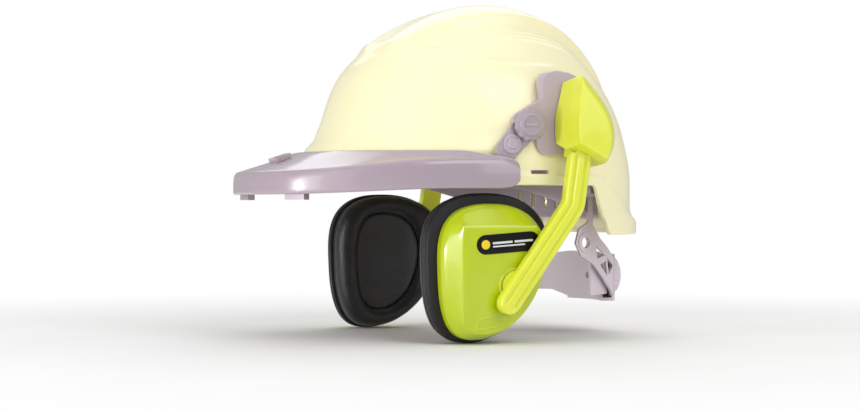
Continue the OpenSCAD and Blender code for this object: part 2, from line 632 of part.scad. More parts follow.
// slab with the shape of the cushion's opening, made smaller by a gap
module opening_slab(x0, x1, gap)
  cup_slab(x0, x1, open_half_width-gap, open_half_height-gap, 2.2);
module ear_cushion() difference() {
  union() {
    cup_slab(cushion_x0+4, cushion_x1, plate_half_width-0.6, plate_half_height-0.6);
    cup_slab(cushion_x0, cushion_x0+4.2, plate_half_width-4, plate_half_height-4);
  }
  opening_slab(cushion_x0-1, cushion_x1+1, 0);
}
module ear_cushion_left() color([0.12,0.12,0.12]) ear_cushion();
module ear_cushion_right() color([0.12,0.12,0.12]) right() ear_cushion();
module absorber() opening_slab(cushion_x0+9.6, plate_x1+4, 1.2);
module absorber_left() color([0.22,0.22,0.23]) absorber();
module absorber_right() color([0.22,0.22,0.23]) right() absorber();
module foam_cover() opening_slab(cushion_x0+8.2, cushion_x0+9.4, 0.6);
module foam_cover_left() color([0.2,0.2,0.2]) foam_cover();
module foam_cover_right() color([0.2,0.2,0.2]) right() foam_cover();

// ---- what is drawn
shell();
headband();
sweatband();
cradle_straps();
strap_keys();
nape_yoke_left();
nape_yoke_right();
ratchet_housing();
ratchet_cover();
nape_tail_left();
nape_tail_right();
ratchet_pinion();
ratchet_knob();
brow_guard();
visor_latch();
visor_clips();
guard_link_left();
guard_link_right();
tilt_pins();
tilt_knob_left();
tilt_knob_right();
side_adapter_left();
side_adapter_right();
swivel_stud_left();
swivel_stud_right();
holder_cap_left();
holder_cap_right();
hinge_pin_left();
hinge_pin_right();
arm_spring_left();
arm_spring_right();
muff_arm_left();
muff_arm_right();
cup_slider_left();
cup_slider_right();
swivel_block_left();
swivel_block_right();
cup_shell_left();
cup_shell_right();
cup_label_left();
cup_label_right();
backing_plate_left();
backing_plate_right();
ear_cushion_left();
ear_cushion_right();
absorber_left();
absorber_right();
foam_cover_left();
foam_cover_right();
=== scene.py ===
"""Safety helmet with a brow guard, an inner harness and an ear cup hinged on each side.

The helmet stands upright: +Z is up, -Y is the front, +X is the wearer's left, and x = 0 is the
plane of symmetry. Geometry is written in millimetres and scaled to metres when a mesh is made.
Materials, lights and the camera are in metres, angles in degrees. Plan angles run from +X
towards +Y, so -90 is the front. Side pieces are written for the left and reflected in x.
"""
import bpy, bmesh, math, json, random
import numpy as np
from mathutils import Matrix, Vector


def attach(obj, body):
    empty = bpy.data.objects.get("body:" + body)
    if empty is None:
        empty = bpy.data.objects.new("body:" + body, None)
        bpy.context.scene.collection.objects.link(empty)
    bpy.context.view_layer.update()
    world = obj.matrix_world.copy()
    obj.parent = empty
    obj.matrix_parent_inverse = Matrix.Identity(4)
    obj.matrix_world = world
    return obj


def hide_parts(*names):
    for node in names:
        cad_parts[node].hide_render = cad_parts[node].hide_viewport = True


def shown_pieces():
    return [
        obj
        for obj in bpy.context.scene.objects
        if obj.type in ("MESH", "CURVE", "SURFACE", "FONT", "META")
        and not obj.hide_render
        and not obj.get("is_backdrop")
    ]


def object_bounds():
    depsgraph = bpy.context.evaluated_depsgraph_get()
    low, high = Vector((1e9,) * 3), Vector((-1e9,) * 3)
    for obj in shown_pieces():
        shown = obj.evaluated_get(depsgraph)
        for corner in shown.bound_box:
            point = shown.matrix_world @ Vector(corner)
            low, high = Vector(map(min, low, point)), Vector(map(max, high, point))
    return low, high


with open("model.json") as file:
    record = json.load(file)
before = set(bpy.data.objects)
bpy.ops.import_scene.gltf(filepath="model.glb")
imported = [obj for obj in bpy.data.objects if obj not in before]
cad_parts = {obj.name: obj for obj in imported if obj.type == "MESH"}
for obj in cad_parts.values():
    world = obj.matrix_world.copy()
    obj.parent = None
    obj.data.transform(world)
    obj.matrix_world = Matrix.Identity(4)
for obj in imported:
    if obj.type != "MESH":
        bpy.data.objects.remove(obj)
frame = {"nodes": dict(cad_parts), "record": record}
cad_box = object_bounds()
cad_nodes = frame["nodes"]
slot_of = {part["node"]: part["material_slot"] for part in frame["record"]["subparts"]}
random.seed(7)

MM = 0.001
SIGN = {"left": 1, "right": -1}

# Shell: a superellipse plan with a straight skirt below and a dome above
HALF_WIDTH = 101
FRONT_LENGTH = 124          # from the plan's middle to the front
REAR_LENGTH = 110
PLAN_POWER = 2.3
MID_Y = 8                   # the plan's middle
DOME_Z = 20                 # where the skirt meets the dome
DOME_HEIGHT = 119.5
WALL = 3
CREST_RISE = 5.5            # raised band over the top
CREST_HALF = 50             # half its greatest width
STEP = 3                    # how far the lower side walls stand out
RIM_SIDE_Z = 14
RIM_REAR_Z = -20

# Brow guard
GUARD_HALF_WIDTH = 112
GUARD_REACH = 160
GUARD_Y = -9                # its two ends
GUARD_WALL = 2.6
GUARD_CLEARANCE = 3         # between its inner edge and the stepped shell

# Ear cup: an egg-shaped outline in the y-z plane
CUP_Y, CUP_Z = -28.0, -43.0
CUP_HALF_WIDTH, CUP_HALF_HEIGHT = 43.5, 50.3
CUP_POWER = 2.35
CUP_TAPER = 0.19            # extra width at the top, lost at the foot
CUP_LEAN = 0.122            # the top leans back, the foot forward
CUP_BOW = 0.155             # top and foot curl forward
CUP_RISE, CUP_SHIFT = 0.7, 1.0
OPENING_HALF_WIDTH, OPENING_HALF_HEIGHT = 25.5, 36.5
CUP_BACK_X = 97.06
CUP_FACE_X = 116.5
BOSS_Y, BOSS_Z = -15.2, -54.0

# Arm, as (y, z): from its upper end past the bend to the tip, and the hinge pin along y
ARM_EYE, ARM_BEND, ARM_TIP = (28.1, 27.0), (24.2, -0.4), (-23.1, -64.8)
ARM_HALF_WIDTH = 7.7
HINGE_X, HINGE_Z = 121, 42

# Harness
BAND_INSET = 22.5           # headband's outer face inside the shell's plan
BAND_THICKNESS = 2
STRAP_INSET = 9.8
STRAPS = ((-90, 0), (-32, 1.7), (32, 3.4))      # plan angle, extra height at the crossing
TILT_Y, TILT_Z = -2, 54
SIZE_KNOB_Z = -52
RIVET = (108.1, -13.6, 41.0)

# Shares of the way from a face's edge to its middle at which rings close the face
FACE_SHARES = (0.12, 0.3, 0.55, 0.8, 0.97)

# Faces of an eight-cornered block: corners counted as a grid, or as two loops of four
GRID_FACES = [(0, 1, 3, 2), (4, 6, 7, 5), (0, 4, 5, 1), (2, 3, 7, 6), (0, 2, 6, 4), (1, 5, 7, 3)]
LOOP_FACES = [(0, 1, 2, 3), (4, 7, 6, 5), (0, 4, 5, 1), (1, 5, 6, 2), (2, 6, 7, 3), (3, 7, 4, 0)]


# ------------------------------------------------------------ numbers and points
def cos(degrees):
    return math.cos(math.radians(degrees))


def sin(degrees):
    return math.sin(math.radians(degrees))


def ease(start, end, value):
    """Smooth step from 0 at start to 1 at end; start may be the larger."""
    t = max(0.0, min(1.0, (value - start) / (end - start)))
    return t * t * (3 - 2 * t)


def bell(offset, width):
    return math.exp(-(offset / width) ** 2)


def signed_power(value, power):
    return math.copysign(abs(value) ** power, value)


def unit(vector):
    length = math.sqrt(sum(c * c for c in vector)) or 1.0
    return [c / length for c in vector]


def mix(start, end, share):
    return start + (end - start) * share


def radial(angle, radius, z, across=0):
    """Point at a plan angle and radius from the shell's axis, moved sideways by across."""
    return (radius * cos(angle) - across * sin(angle),
            MID_Y + radius * sin(angle) + across * cos(angle), z)


def mix_rings(first, second, share):
    return [[mix(a, b, share) for a, b in zip(p, q)] for p, q in zip(first, second)]


def round_corner(start, corner, end, steps):
    """Rings along a quadratic curve that rounds the corner between two rings."""
    rings = []
    for i in range(steps + 1):
        t = i / steps
        rings.append([[a * (1 - t) ** 2 + b * 2 * t * (1 - t) + c * t * t
                       for a, b, c in zip(p, q, r)] for p, q, r in zip(start, corner, end)])
    return rings


# ------------------------------------------------------------ meshes as (points, faces)
def loft(sections, close_v=False, cap=True):
    """Joins closed sections of equal length; close_v joins the last section to the first."""
    count, size = len(sections), len(sections[0])
    points = [p for section in sections for p in section]
    faces = []
    for i in range(count if close_v else count - 1):
        for j in range(size):
            here, there = i * size, (i + 1) % count * size
            k = (j + 1) % size
            faces.append((here + j, here + k, there + k, there + j))
    if cap and not close_v:
        faces.append(tuple(range(size - 1, -1, -1)))
        faces.append(tuple((count - 1) * size + j for j in range(size)))
    return points, faces


def joined(meshes):
    points, faces = [], []
    for part_points, part_faces in meshes:
        first = len(points)
        points += list(part_points)
        faces += [tuple(i + first for i in face) for face in part_faces]
    return points, faces


def box(x0, x1, y0, y1, z0, z1):
    return [(x, y, z) for x in (x0, x1) for y in (y0, y1) for z in (z0, z1)], GRID_FACES


def radial_box(angle, radii, across, heights, outer_scale=1.0):
    """Block facing outwards at a plan angle; outer_scale narrows its outer end."""
    points = [radial(angle, r, z, w * (1.0 if r == radii[0] else outer_scale))
              for r in radii for w in across for z in heights]
    return points, GRID_FACES


def prism_faces(size):
    sides = [(i, (i + 1) % size, size + (i + 1) % size, size + i) for i in range(size)]
    return [tuple(range(size)), tuple(range(2 * size - 1, size - 1, -1))] + sides


def lathe(profile, steps, axis, origin):
    """Turned solid; profile rows are (offset along the axis, radius)."""
    ox, oy, oz = origin
    rings = []
    for offset, radius in profile:
        ring = []
        for i in range(steps):
            turn = 2 * math.pi * i / steps
            u, v = radius * math.cos(turn), radius * math.sin(turn)
            if axis == "y":
                ring.append((ox + u, oy + offset, oz + v))
            else:
                ring.append((ox + offset, oy + u, oz + v))
        rings.append(ring)
    return loft(rings)


def rod(length, radius, steps, axis, origin):
    profile = [(0, 0.01), (0, radius), (length, radius), (length, 0.01)]
    return lathe(profile, steps, axis, origin)


def on_side(mesh, side):
    points, faces = mesh
    return [(SIGN[side] * x, y, z) for x, y, z in points], faces


# ------------------------------------------------------------ Blender objects
def mesh_data(name, mesh):
    points, faces = mesh
    data = bpy.data.meshes.new(name)
    data.from_pydata([(x * MM, y * MM, z * MM) for x, y, z in points], [], faces)
    return data


def clean(data, merge):
    """Merges points closer than merge (metres) and turns the faces outwards."""
    bm = bmesh.new()
    bm.from_mesh(data)
    bmesh.ops.remove_doubles(bm, verts=bm.verts, dist=merge)
    bmesh.ops.recalc_face_normals(bm, faces=bm.faces)
    bm.to_mesh(data)
    bm.free()


def link_object(name, data):
    ob = bpy.data.objects.new(name, data)
    bpy.context.scene.collection.objects.link(ob)
    return ob


def smooth_faces(data):
    for face in data.polygons:
        face.use_smooth = True


def solid(name, mesh, body, slot, replaced="", side="left", material=None, smooth=True):
    """Finished piece: replaced is the CAD node it stands for, body what it moves with."""
    data = mesh_data(name, on_side(mesh, side))
    data.validate()
    clean(data, merge=2e-6)
    ob = link_object(name, data)
    data.materials.append(material or MATERIALS[slot])
    if smooth:
        smooth_faces(data)
    if replaced:
        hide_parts(replaced)
    ob["ride_body"] = body
    return ob


def add_modifier(ob, kind, **settings):
    modifier = ob.modifiers.new(kind.lower(), kind)
    for key, value in settings.items():
        setattr(modifier, key, value)
    return modifier


def apply_modifiers(ob):
    depsgraph = bpy.context.evaluated_depsgraph_get()
    depsgraph.update()
    data = bpy.data.meshes.new_from_object(ob.evaluated_get(depsgraph))
    old = ob.data
    ob.modifiers.clear()
    ob.data = data
    data.name = ob.name
    bpy.data.meshes.remove(old)


def combine(ob, meshes, operation="DIFFERENCE"):
    """Cuts the meshes from the object, or adds them with UNION, one after another."""
    for mesh in meshes:
        data = mesh_data("cutter", mesh)
        clean(data, merge=1e-7)
        cutter = link_object("cutter", data)
        add_modifier(ob, "BOOLEAN", object=cutter, operation=operation, solver="EXACT")
        apply_modifiers(ob)
        bpy.data.objects.remove(cutter)
        bpy.data.meshes.remove(data)


def shade(ob, angle):
    """Smooth shading that keeps creases sharper than angle."""
    bm = bmesh.new()
    bm.from_mesh(ob.data)
    for edge in bm.edges:
        crease = len(edge.link_faces) == 2 and edge.calc_face_angle(0) > math.radians(angle)
        edge.smooth = not crease
    for face in bm.faces:
        face.smooth = True
    bm.to_mesh(ob.data)
    bm.free()


def bevel(ob, width, segments, angle):
    add_modifier(ob, "BEVEL", width=width * MM, segments=segments, limit_method="ANGLE",
                 angle_limit=math.radians(angle), harden_normals=False)


def read_points(data):
    values = np.empty(len(data.vertices) * 3)
    data.vertices.foreach_get("co", values)
    return values.reshape(-1, 3)


def write_points(data, points):
    data.vertices.foreach_set("co", points.ravel())
    data.update()


# ------------------------------------------------------------ shader nodes
def set_inputs(tree, node, inputs):
    """Sets inputs by name or index; a socket is linked, a colour gets alpha 1."""
    for key, value in inputs.items():
        socket = node.inputs[key]
        if isinstance(value, bpy.types.NodeSocket):
            tree.links.new(value, socket)
        elif socket.type == "RGBA":
            socket.default_value = (*value, 1)
        else:
            socket.default_value = value


def add_node(tree, kind, inputs=None, **settings):
    node = tree.nodes.new("ShaderNode" + kind)
    for key, value in settings.items():
        setattr(node, key, value)
    set_inputs(tree, node, inputs or {})
    return node


def new_material(name):
    material = bpy.data.materials.new(name)
    material.use_nodes = True
    tree = material.node_tree
    tree.nodes.clear()
    output = add_node(tree, "OutputMaterial")
    shader = add_node(tree, "BsdfPrincipled")
    tree.links.new(shader.outputs[0], output.inputs[0])
    return material, tree, shader


def srgb(red, green, blue):
    """Linear colour from 8-bit sRGB."""
    shares = (red / 255, green / 255, blue / 255)
    return tuple(c / 12.92 if c <= 0.04045 else ((c + 0.055) / 1.055) ** 2.4 for c in shares)


def object_coords(tree, z_scale=1):
    source = add_node(tree, "TexCoord").outputs["Object"]
    return add_node(tree, "Mapping", {"Scale": (1, 1, z_scale), "Vector": source}).outputs[0]


def noise(tree, coords, scale, detail, roughness=0.5, distortion=0.0):
    return add_node(tree, "TexNoise", {
        "Vector": coords, "Scale": scale, "Detail": detail,
        "Roughness": roughness, "Distortion": distortion}).outputs["Fac"]


def ramp(tree, value, low, high):
    """Colour ramp between two (position, colour) stops."""
    node = add_node(tree, "ValToRGB", {0: value})
    for element, (position, color) in zip(node.color_ramp.elements, (low, high)):
        element.position = position
        element.color = (*color, 1)
    return node.outputs[0]


def calc(tree, operation, *values, clamp=False):
    return add_node(tree, "Math", dict(enumerate(values)),
                    operation=operation, use_clamp=clamp).outputs[0]


def mix_colors(tree, share, first, second):
    return add_node(tree, "Mix", {0: share, 6: first, 7: second}, data_type="RGBA").outputs[2]


def remap(tree, value, low, high):
    return add_node(tree, "MapRange",
                    {"To Min": low, "To Max": high, "Value": value}).outputs[0]


def bump(tree, height, strength, distance, under=None):
    """Bump normal, laid over the one given as under."""
    inputs = {"Strength": strength, "Distance": distance, "Height": height}
    if under:
        inputs["Normal"] = under
    return add_node(tree, "Bump", inputs).outputs[0]


def edge_highlight_mask(tree):
    """Mask of the painted edge highlight: rises near edges, from the difference of a bevelled
    and a plain normal.
    """
    bevelled = add_node(tree, "Bevel", {"Radius": 0.0016}, samples=4).outputs[0]
    plain = add_node(tree, "NewGeometry").outputs["Normal"]
    dot = add_node(tree, "VectorMath", {0: bevelled, 1: plain}, operation="DOT_PRODUCT")
    return calc(tree, "SUBTRACT", 1.0, dot.outputs["Value"])


# ------------------------------------------------------------ materials
def plastic(name, color, cloud, edge=None, *, roughness, grain,
            scatter=0.0, coat=0.0, specular=0.5):
    """Moulded plastic: cloudy colour, fine specks, orange peel and, given edge, paler edges
    painted as a highlight.
    """
    material, tree, shader = new_material(name)
    coords = object_coords(tree)
    color = srgb(*color)
    clouds = noise(tree, coords, scale=14, detail=3, roughness=0.6, distortion=0.4)
    base = ramp(tree, clouds, (0.32, color), (0.68, srgb(*cloud)))
    specks = noise(tree, coords, scale=240, detail=2)
    darker = tuple(c * 0.7 for c in color)
    base = mix_colors(tree, calc(tree, "MULTIPLY", specks, 0.025), base, darker)
    if edge:
        # painted highlight: edges made paler, as if catching the light
        edge_highlight = calc(tree, "MULTIPLY", edge_highlight_mask(tree), 1.2, clamp=True)
        base = mix_colors(tree, edge_highlight, base, srgb(*edge))
    patches = noise(tree, coords, scale=38, detail=4, roughness=0.6)
    peel = bump(tree, noise(tree, coords, scale=420, detail=2), strength=grain, distance=0.0001)
    waves = noise(tree, coords, scale=30, detail=2)
    set_inputs(tree, shader, {
        "Base Color": base,
        "Roughness": remap(tree, patches, low=roughness * 0.82, high=roughness * 1.22),
        "Normal": bump(tree, waves, strength=grain * 0.8, distance=0.0005, under=peel),
        "Specular IOR Level": specular})
    if scatter:
        set_inputs(tree, shader, {
            "Subsurface Weight": scatter, "Subsurface Radius": (0.004, 0.0035, 0.002),
            "Subsurface Scale": 1.0})
    if coat:
        set_inputs(tree, shader, {"Coat Weight": coat, "Coat Roughness": 0.06})
    return material


def steel(name, color, roughness):
    """Metal with fine streaks, squeezed along z."""
    material, tree, shader = new_material(name)
    coords = object_coords(tree, z_scale=40)
    color = srgb(*color)
    streaks = noise(tree, coords, scale=90, detail=4, roughness=0.6)
    darker = tuple(c * 0.75 for c in color)
    set_inputs(tree, shader, {
        "Base Color": ramp(tree, streaks, (0.3, darker), (0.7, color)),
        "Metallic": 1,
        "Roughness": remap(tree, streaks, low=roughness * 0.8, high=roughness * 1.3),
        "Normal": bump(tree, streaks, strength=0.08, distance=0.0001)})
    return material


def grained_vinyl(name):
    """Black vinyl: pebbles from a warped cell pattern with painted shade in the creases between
    them, fine pores and a satin sheen.
    """
    material, tree, shader = new_material(name)
    coords = object_coords(tree)
    warp = add_node(tree, "TexNoise", {"Scale": 300, "Vector": coords}).outputs["Color"]
    warped = add_node(tree, "VectorMath", {0: warp, 1: (0.0011, 0.0011, 0.0011), 2: coords},
                      operation="MULTIPLY_ADD").outputs[0]
    cells = add_node(tree, "TexVoronoi", {"Scale": 620, "Vector": warped},
                     feature="DISTANCE_TO_EDGE").outputs["Distance"]
    pebbles = calc(tree, "MULTIPLY", cells, 5.0, clamp=True)
    patches = noise(tree, coords, scale=26, detail=4, roughness=0.6)
    base = ramp(tree, patches, (0.3, srgb(17, 17, 18)), (0.7, srgb(26, 26, 28)))
    # painted shade: the creases between pebbles darkened
    crease_shade = calc(tree, "MULTIPLY", calc(tree, "SUBTRACT", 1.0, pebbles), 0.55)
    pebbled = bump(tree, pebbles, strength=0.34, distance=0.00022)
    pores = noise(tree, coords, scale=1500, detail=2)
    pored = bump(tree, pores, strength=0.16, distance=0.0001, under=pebbled)
    waves = noise(tree, coords, scale=60, detail=3)
    set_inputs(tree, shader, {
        "Base Color": mix_colors(tree, crease_shade, base, srgb(12, 12, 13)),
        "Roughness": remap(tree, patches, low=0.30, high=0.44),
        "Normal": bump(tree, waves, strength=0.25, distance=0.0006, under=pored),
        "Sheen Weight": 0.12,
        "Specular IOR Level": 0.5})
    return material


def foam(name, dark, light):
    """Matt foam with open cells."""
    material, tree, shader = new_material(name)
    coords = object_coords(tree)
    dark, light = srgb(*dark), srgb(*light)
    cells = add_node(tree, "TexVoronoi", {"Scale": 900, "Vector": coords}).outputs["Distance"]
    base = ramp(tree, cells, (0.15, dark), (0.6, light))
    stains = calc(tree, "MULTIPLY", noise(tree, coords, scale=40, detail=3), 0.4)
    set_inputs(tree, shader, {
        "Base Color": mix_colors(tree, stains, base, dark),
        "Roughness": 0.92,
        "Normal": bump(tree, cells, strength=0.7, distance=0.0006),
        "Sheen Weight": 0.2})
    return material


def weave(name, dark, light, pitch, axes="YZ", sheen=0.25):
    """Plain weave: threads along two axes, over and under by turns."""
    material, tree, shader = new_material(name)
    coords = object_coords(tree)
    dark, light = srgb(*dark), srgb(*light)
    split = add_node(tree, "SeparateXYZ", {0: coords})
    places = [split.outputs[axis] for axis in axes]

    def threads(place):
        turns = calc(tree, "MULTIPLY", place, math.pi / pitch)
        return calc(tree, "ABSOLUTE", calc(tree, "SINE", turns))

    def thread_number(place):
        return calc(tree, "FLOOR", calc(tree, "DIVIDE", place, pitch))

    first, second = [threads(place) for place in places]
    numbers = calc(tree, "ADD", *[thread_number(place) for place in places])
    over = calc(tree, "ABSOLUTE", calc(tree, "MODULO", numbers, 2.0))
    height = mix_colors(tree, over, first, second)
    base = ramp(tree, height, (0.1, dark), (0.8, light))
    patches = noise(tree, coords, scale=55, detail=3, roughness=0.6)
    base = mix_colors(tree, calc(tree, "MULTIPLY", patches, 0.35), base, dark)
    woven = bump(tree, height, strength=0.5, distance=0.00025)
    fibres = noise(tree, coords, scale=1200, detail=2)
    set_inputs(tree, shader, {
        "Base Color": base,
        "Roughness": 0.8,
        "Sheen Weight": sheen,
        "Normal": bump(tree, fibres, strength=0.15, distance=0.0001, under=woven)})
    return material


# One material per slot. Plastics give a colour, its cloudy variation and the paler colour of the
# painted edge highlight.
MATERIALS = {
    "shell_cream": plastic(
        "shell_cream", (254, 247, 205), (252, 243, 196), (255, 251, 226),
        roughness=0.30, scatter=0.12, coat=0.25, grain=0.05),
    "guard_mauve": plastic(
        "guard_mauve", (174, 158, 169), (166, 150, 161), (216, 203, 211),
        roughness=0.24, coat=0.6, grain=0.06),
    "harness_mauve": plastic(
        "harness_mauve", (190, 175, 187), (181, 166, 178), (220, 210, 216),
        roughness=0.42, grain=0.10),
    "knob_grey": plastic(
        "knob_mauve", (176, 161, 172), (166, 151, 162), (214, 202, 210),
        roughness=0.34, grain=0.10),
    "pinion_nylon": plastic(
        "pinion_nylon", (226, 221, 224), (214, 208, 212), roughness=0.40, grain=0.08),
    "lime_shell": plastic(
        "lime_shell", (192, 209, 12), (184, 201, 8), (214, 226, 84),
        roughness=0.17, scatter=0.05, coat=0.55, grain=0.035),
    "lime_arm": plastic(
        "lime_arm", (231, 236, 70), (224, 230, 58), (224, 232, 112),
        roughness=0.22, scatter=0.08, coat=0.45, grain=0.04),
    "dark_plastic": plastic(
        "dark_plastic", (34, 33, 38), (28, 27, 32), (60, 59, 66),
        roughness=0.42, grain=0.16, specular=0.3),
    "label_black": plastic(
        "label_black", (8, 8, 9), (5, 5, 6), roughness=0.34, grain=0.02, specular=0.18),
    "spring_steel": steel("spring_steel", (120, 120, 124), roughness=0.34),
    "pin_steel": steel("pin_steel", (190, 190, 194), roughness=0.25),
    "cushion_black": grained_vinyl("cushion_black"),
    "foam_grey": foam("foam_grey", dark=(34, 34, 35), light=(74, 74, 76)),
    "mesh_grey": weave("mesh_grey", dark=(30, 30, 31), light=(84, 84, 86), pitch=0.0013),
    "webbing": weave("webbing", dark=(186, 176, 184), light=(218, 210, 215),
                     pitch=0.0012, axes="XY"),
    "sweat_pad": weave("sweat_pad", dark=(92, 84, 92), light=(136, 126, 134),
                       pitch=0.0009, sheen=0.6),
}
# Lighter copy of the harness plastic for the nape pieces and the size knob: painted light that
# brightens them
NAPE_LIT_MAUVE = plastic("nape_mauve", (224, 212, 220), (215, 202, 211), (220, 210, 216),
                     roughness=0.42, grain=0.10)
LABEL_YELLOW = plastic("label_yellow", (246, 214, 22), (240, 205, 16),
                       roughness=0.3, grain=0.02)
LABEL_LIGHT = plastic("label_light", (226, 228, 230), (216, 218, 220),
                      roughness=0.35, grain=0.02)


# ------------------------------------------------------------ shell
def plan_radius(angle):
    length = FRONT_LENGTH if sin(angle) < 0 else REAR_LENGTH
    across, along = abs(cos(angle)) / HALF_WIDTH, abs(sin(angle)) / length
    return (across ** PLAN_POWER + along ** PLAN_POWER) ** (-1 / PLAN_POWER)


def dome_power(angle):
    """Superellipse power of the dome's profile, blended between sides, front and rear."""
    front, rear = min(0, sin(angle)) ** 2, max(0, sin(angle)) ** 2
    return 2.25 * (1 - front - rear) + 1.8 * front + 1.85 * rear


def dome_point(angle, share):
    """Point on the plain dome; share runs from 0 at its foot to 1 at the top."""
    power = 2 / dome_power(angle)
    radius = plan_radius(angle) * max(0, cos(90 * share)) ** power
    return radial(angle, radius, DOME_Z + DOME_HEIGHT * max(0, sin(90 * share)) ** power)


def rim_z(y):
    front = 5 * ease(-45, -90, y)
    return RIM_SIDE_Z + front + (RIM_REAR_Z - RIM_SIDE_Z) * ease(54, 67, y)


def skirt_point(angle, share):
    """Point on the skirt; share runs from 0 at the rim to 1 at the dome."""
    radius = plan_radius(angle)
    low = rim_z(MID_Y + radius * sin(angle))
    return radial(angle, radius, mix(low, DOME_Z, share))


def relief(point):
    """How far the moulded details stand out of the plain shell at a point."""
    x, y, z = abs(point[0]), point[1], point[2]
    shoulder_z = 106 - 10 * ease(-80, 0, y)
    lip_z = rim_z(y) + 7 if y < 50 else 21 - 36 * ease(50, 118, y)
    front = 1 - ease(-60, 0, y)
    crest = CREST_HALF - 0.0029 * (y - 7) ** 2
    rise = ease(shoulder_z - 3, shoulder_z + 8, z) if y < 0 else ease(50, 96, z)
    out = CREST_RISE * (1 - ease(crest - 3.0, crest + 4.5, x)) * rise
    # front block, flared at its foot, running into the stepped side walls
    block = 7 * ease(56, 98, z) - 2.9 + 5.9 * (1 - ease(34, 50, z))
    below = 1 - ease(shoulder_z - 2.8, shoulder_z + 2.8 + 8 * front, z)
    out += (block * front + STEP * (1 - front)) * below * (1 - ease(15, 48, y))
    # rear: drawn in above, flared below
    out -= 1.6 * ease(14, 45, z) * ease(40, 90, y)
    out += 3 * ease(-3, -12, z) * ease(30, 60, y)
    # lip round the rim
    out += 1.6 * ease(lip_z + 0.4, lip_z - 0.6, z)
    # the crest is hollow along its middle and swells into a bead at its edge
    out -= 1.3 * (1 - ease(4, crest - 12, x)) * rise
    out += 0.5 * bell(x - (crest - 5), 2.6) * rise
    # shallow channel beside the crest with three fine grooves in it
    side = ease(shoulder_z + 1, shoulder_z + 8, z) if y < 20 else ease(60, 84, z)
    out -= 1.1 * bell(x - (crest + 11), 6.0) * side
    for offset in (7.5, 11.5, 15.5):
        groove = bell(x - (crest + offset) - 0.03 * max(0, y), 0.8)
        out -= 0.55 * groove * side * ease(-34, -6, y)
    # fine line where the block flares at its foot
    out -= 0.55 * bell(z - 46.5, 0.8) * (1 - ease(-46, -14, y))
    return out


def shell_point(point, angle, offset):
    """Moves a plain point out along the shell's normal by the relief and an offset."""
    length = FRONT_LENGTH if sin(angle) < 0 else REAR_LENGTH
    normal = unit([point[0] / HALF_WIDTH ** 2, (point[1] - MID_Y) / length ** 2,
                   max(0, point[2] - DOME_Z) / DOME_HEIGHT ** 2])
    depth = relief(point) + offset
    return [c + depth * n for c, n in zip(point, normal)]


def build_shell():
    steps = 360
    angles = [360 * i / steps for i in range(steps)]
    skirt_shares = (0.0, 0.03, 0.08, 0.14, 0.2, 0.26, 0.32, 0.4, 0.5, 0.6, 0.7, 0.8, 0.9)
    plain = [[skirt_point(a, share) for a in angles] for share in skirt_shares]
    plain += [[dome_point(a, i / 150) for a in angles] for i in range(147)]
    outer, inner = [[[shell_point(p, a, offset) for p, a in zip(ring, angles)]
                     for ring in plain] for offset in (0.0, -WALL)]
    rim = []
    for share, drop in ((0.12, 0.45), (0.5, 0.75), (0.88, 0.45)):
        rim.append([[x, y, z - drop] for x, y, z in mix_rings(outer[0], inner[0], share)])
    rings = outer[::-1] + rim + inner
    points, faces = loft(rings, cap=False)
    # the outer and inner skins close in fans at the top
    top = len(points)
    top_z = DOME_Z + DOME_HEIGHT + CREST_RISE
    points += [[0, MID_Y, top_z], [0, MID_Y, top_z - WALL]]
    last = (len(rings) - 1) * steps
    for j in range(steps):
        k = (j + 1) % steps
        faces.append((top, j, k))
        faces.append((top + 1, last + k, last + j))
    ob = solid("shell_skin", (points, faces), "helmet", "shell_cream", "shell")
    # two openings through each side wall
    slots = ((2.5, 15.7, 21, 23.6), (12, 36, 40, 44))       # y0, y1, z0, z1
    combine(ob, [box(sign * HALF_WIDTH - 10, sign * HALF_WIDTH + 10, *slot)
                 for sign in (-1, 1) for slot in slots])
    shade(ob, 50)


# ------------------------------------------------------------ brow guard
def guard_outer(angle, inset):
    """Outer edge in plan, (x, y), drawn in by inset."""
    power = 2 / PLAN_POWER
    return ((GUARD_HALF_WIDTH - inset) * signed_power(cos(angle), power),
            GUARD_Y + (GUARD_REACH - inset) * signed_power(sin(angle), power))


def guard_inner(angle):
    x, y = guard_outer(angle, 0)
    plan_angle = math.degrees(math.atan2(y - MID_Y, x))
    return radial(plan_angle, plan_radius(plan_angle) + STEP + GUARD_CLEARANCE, 0)[:2]


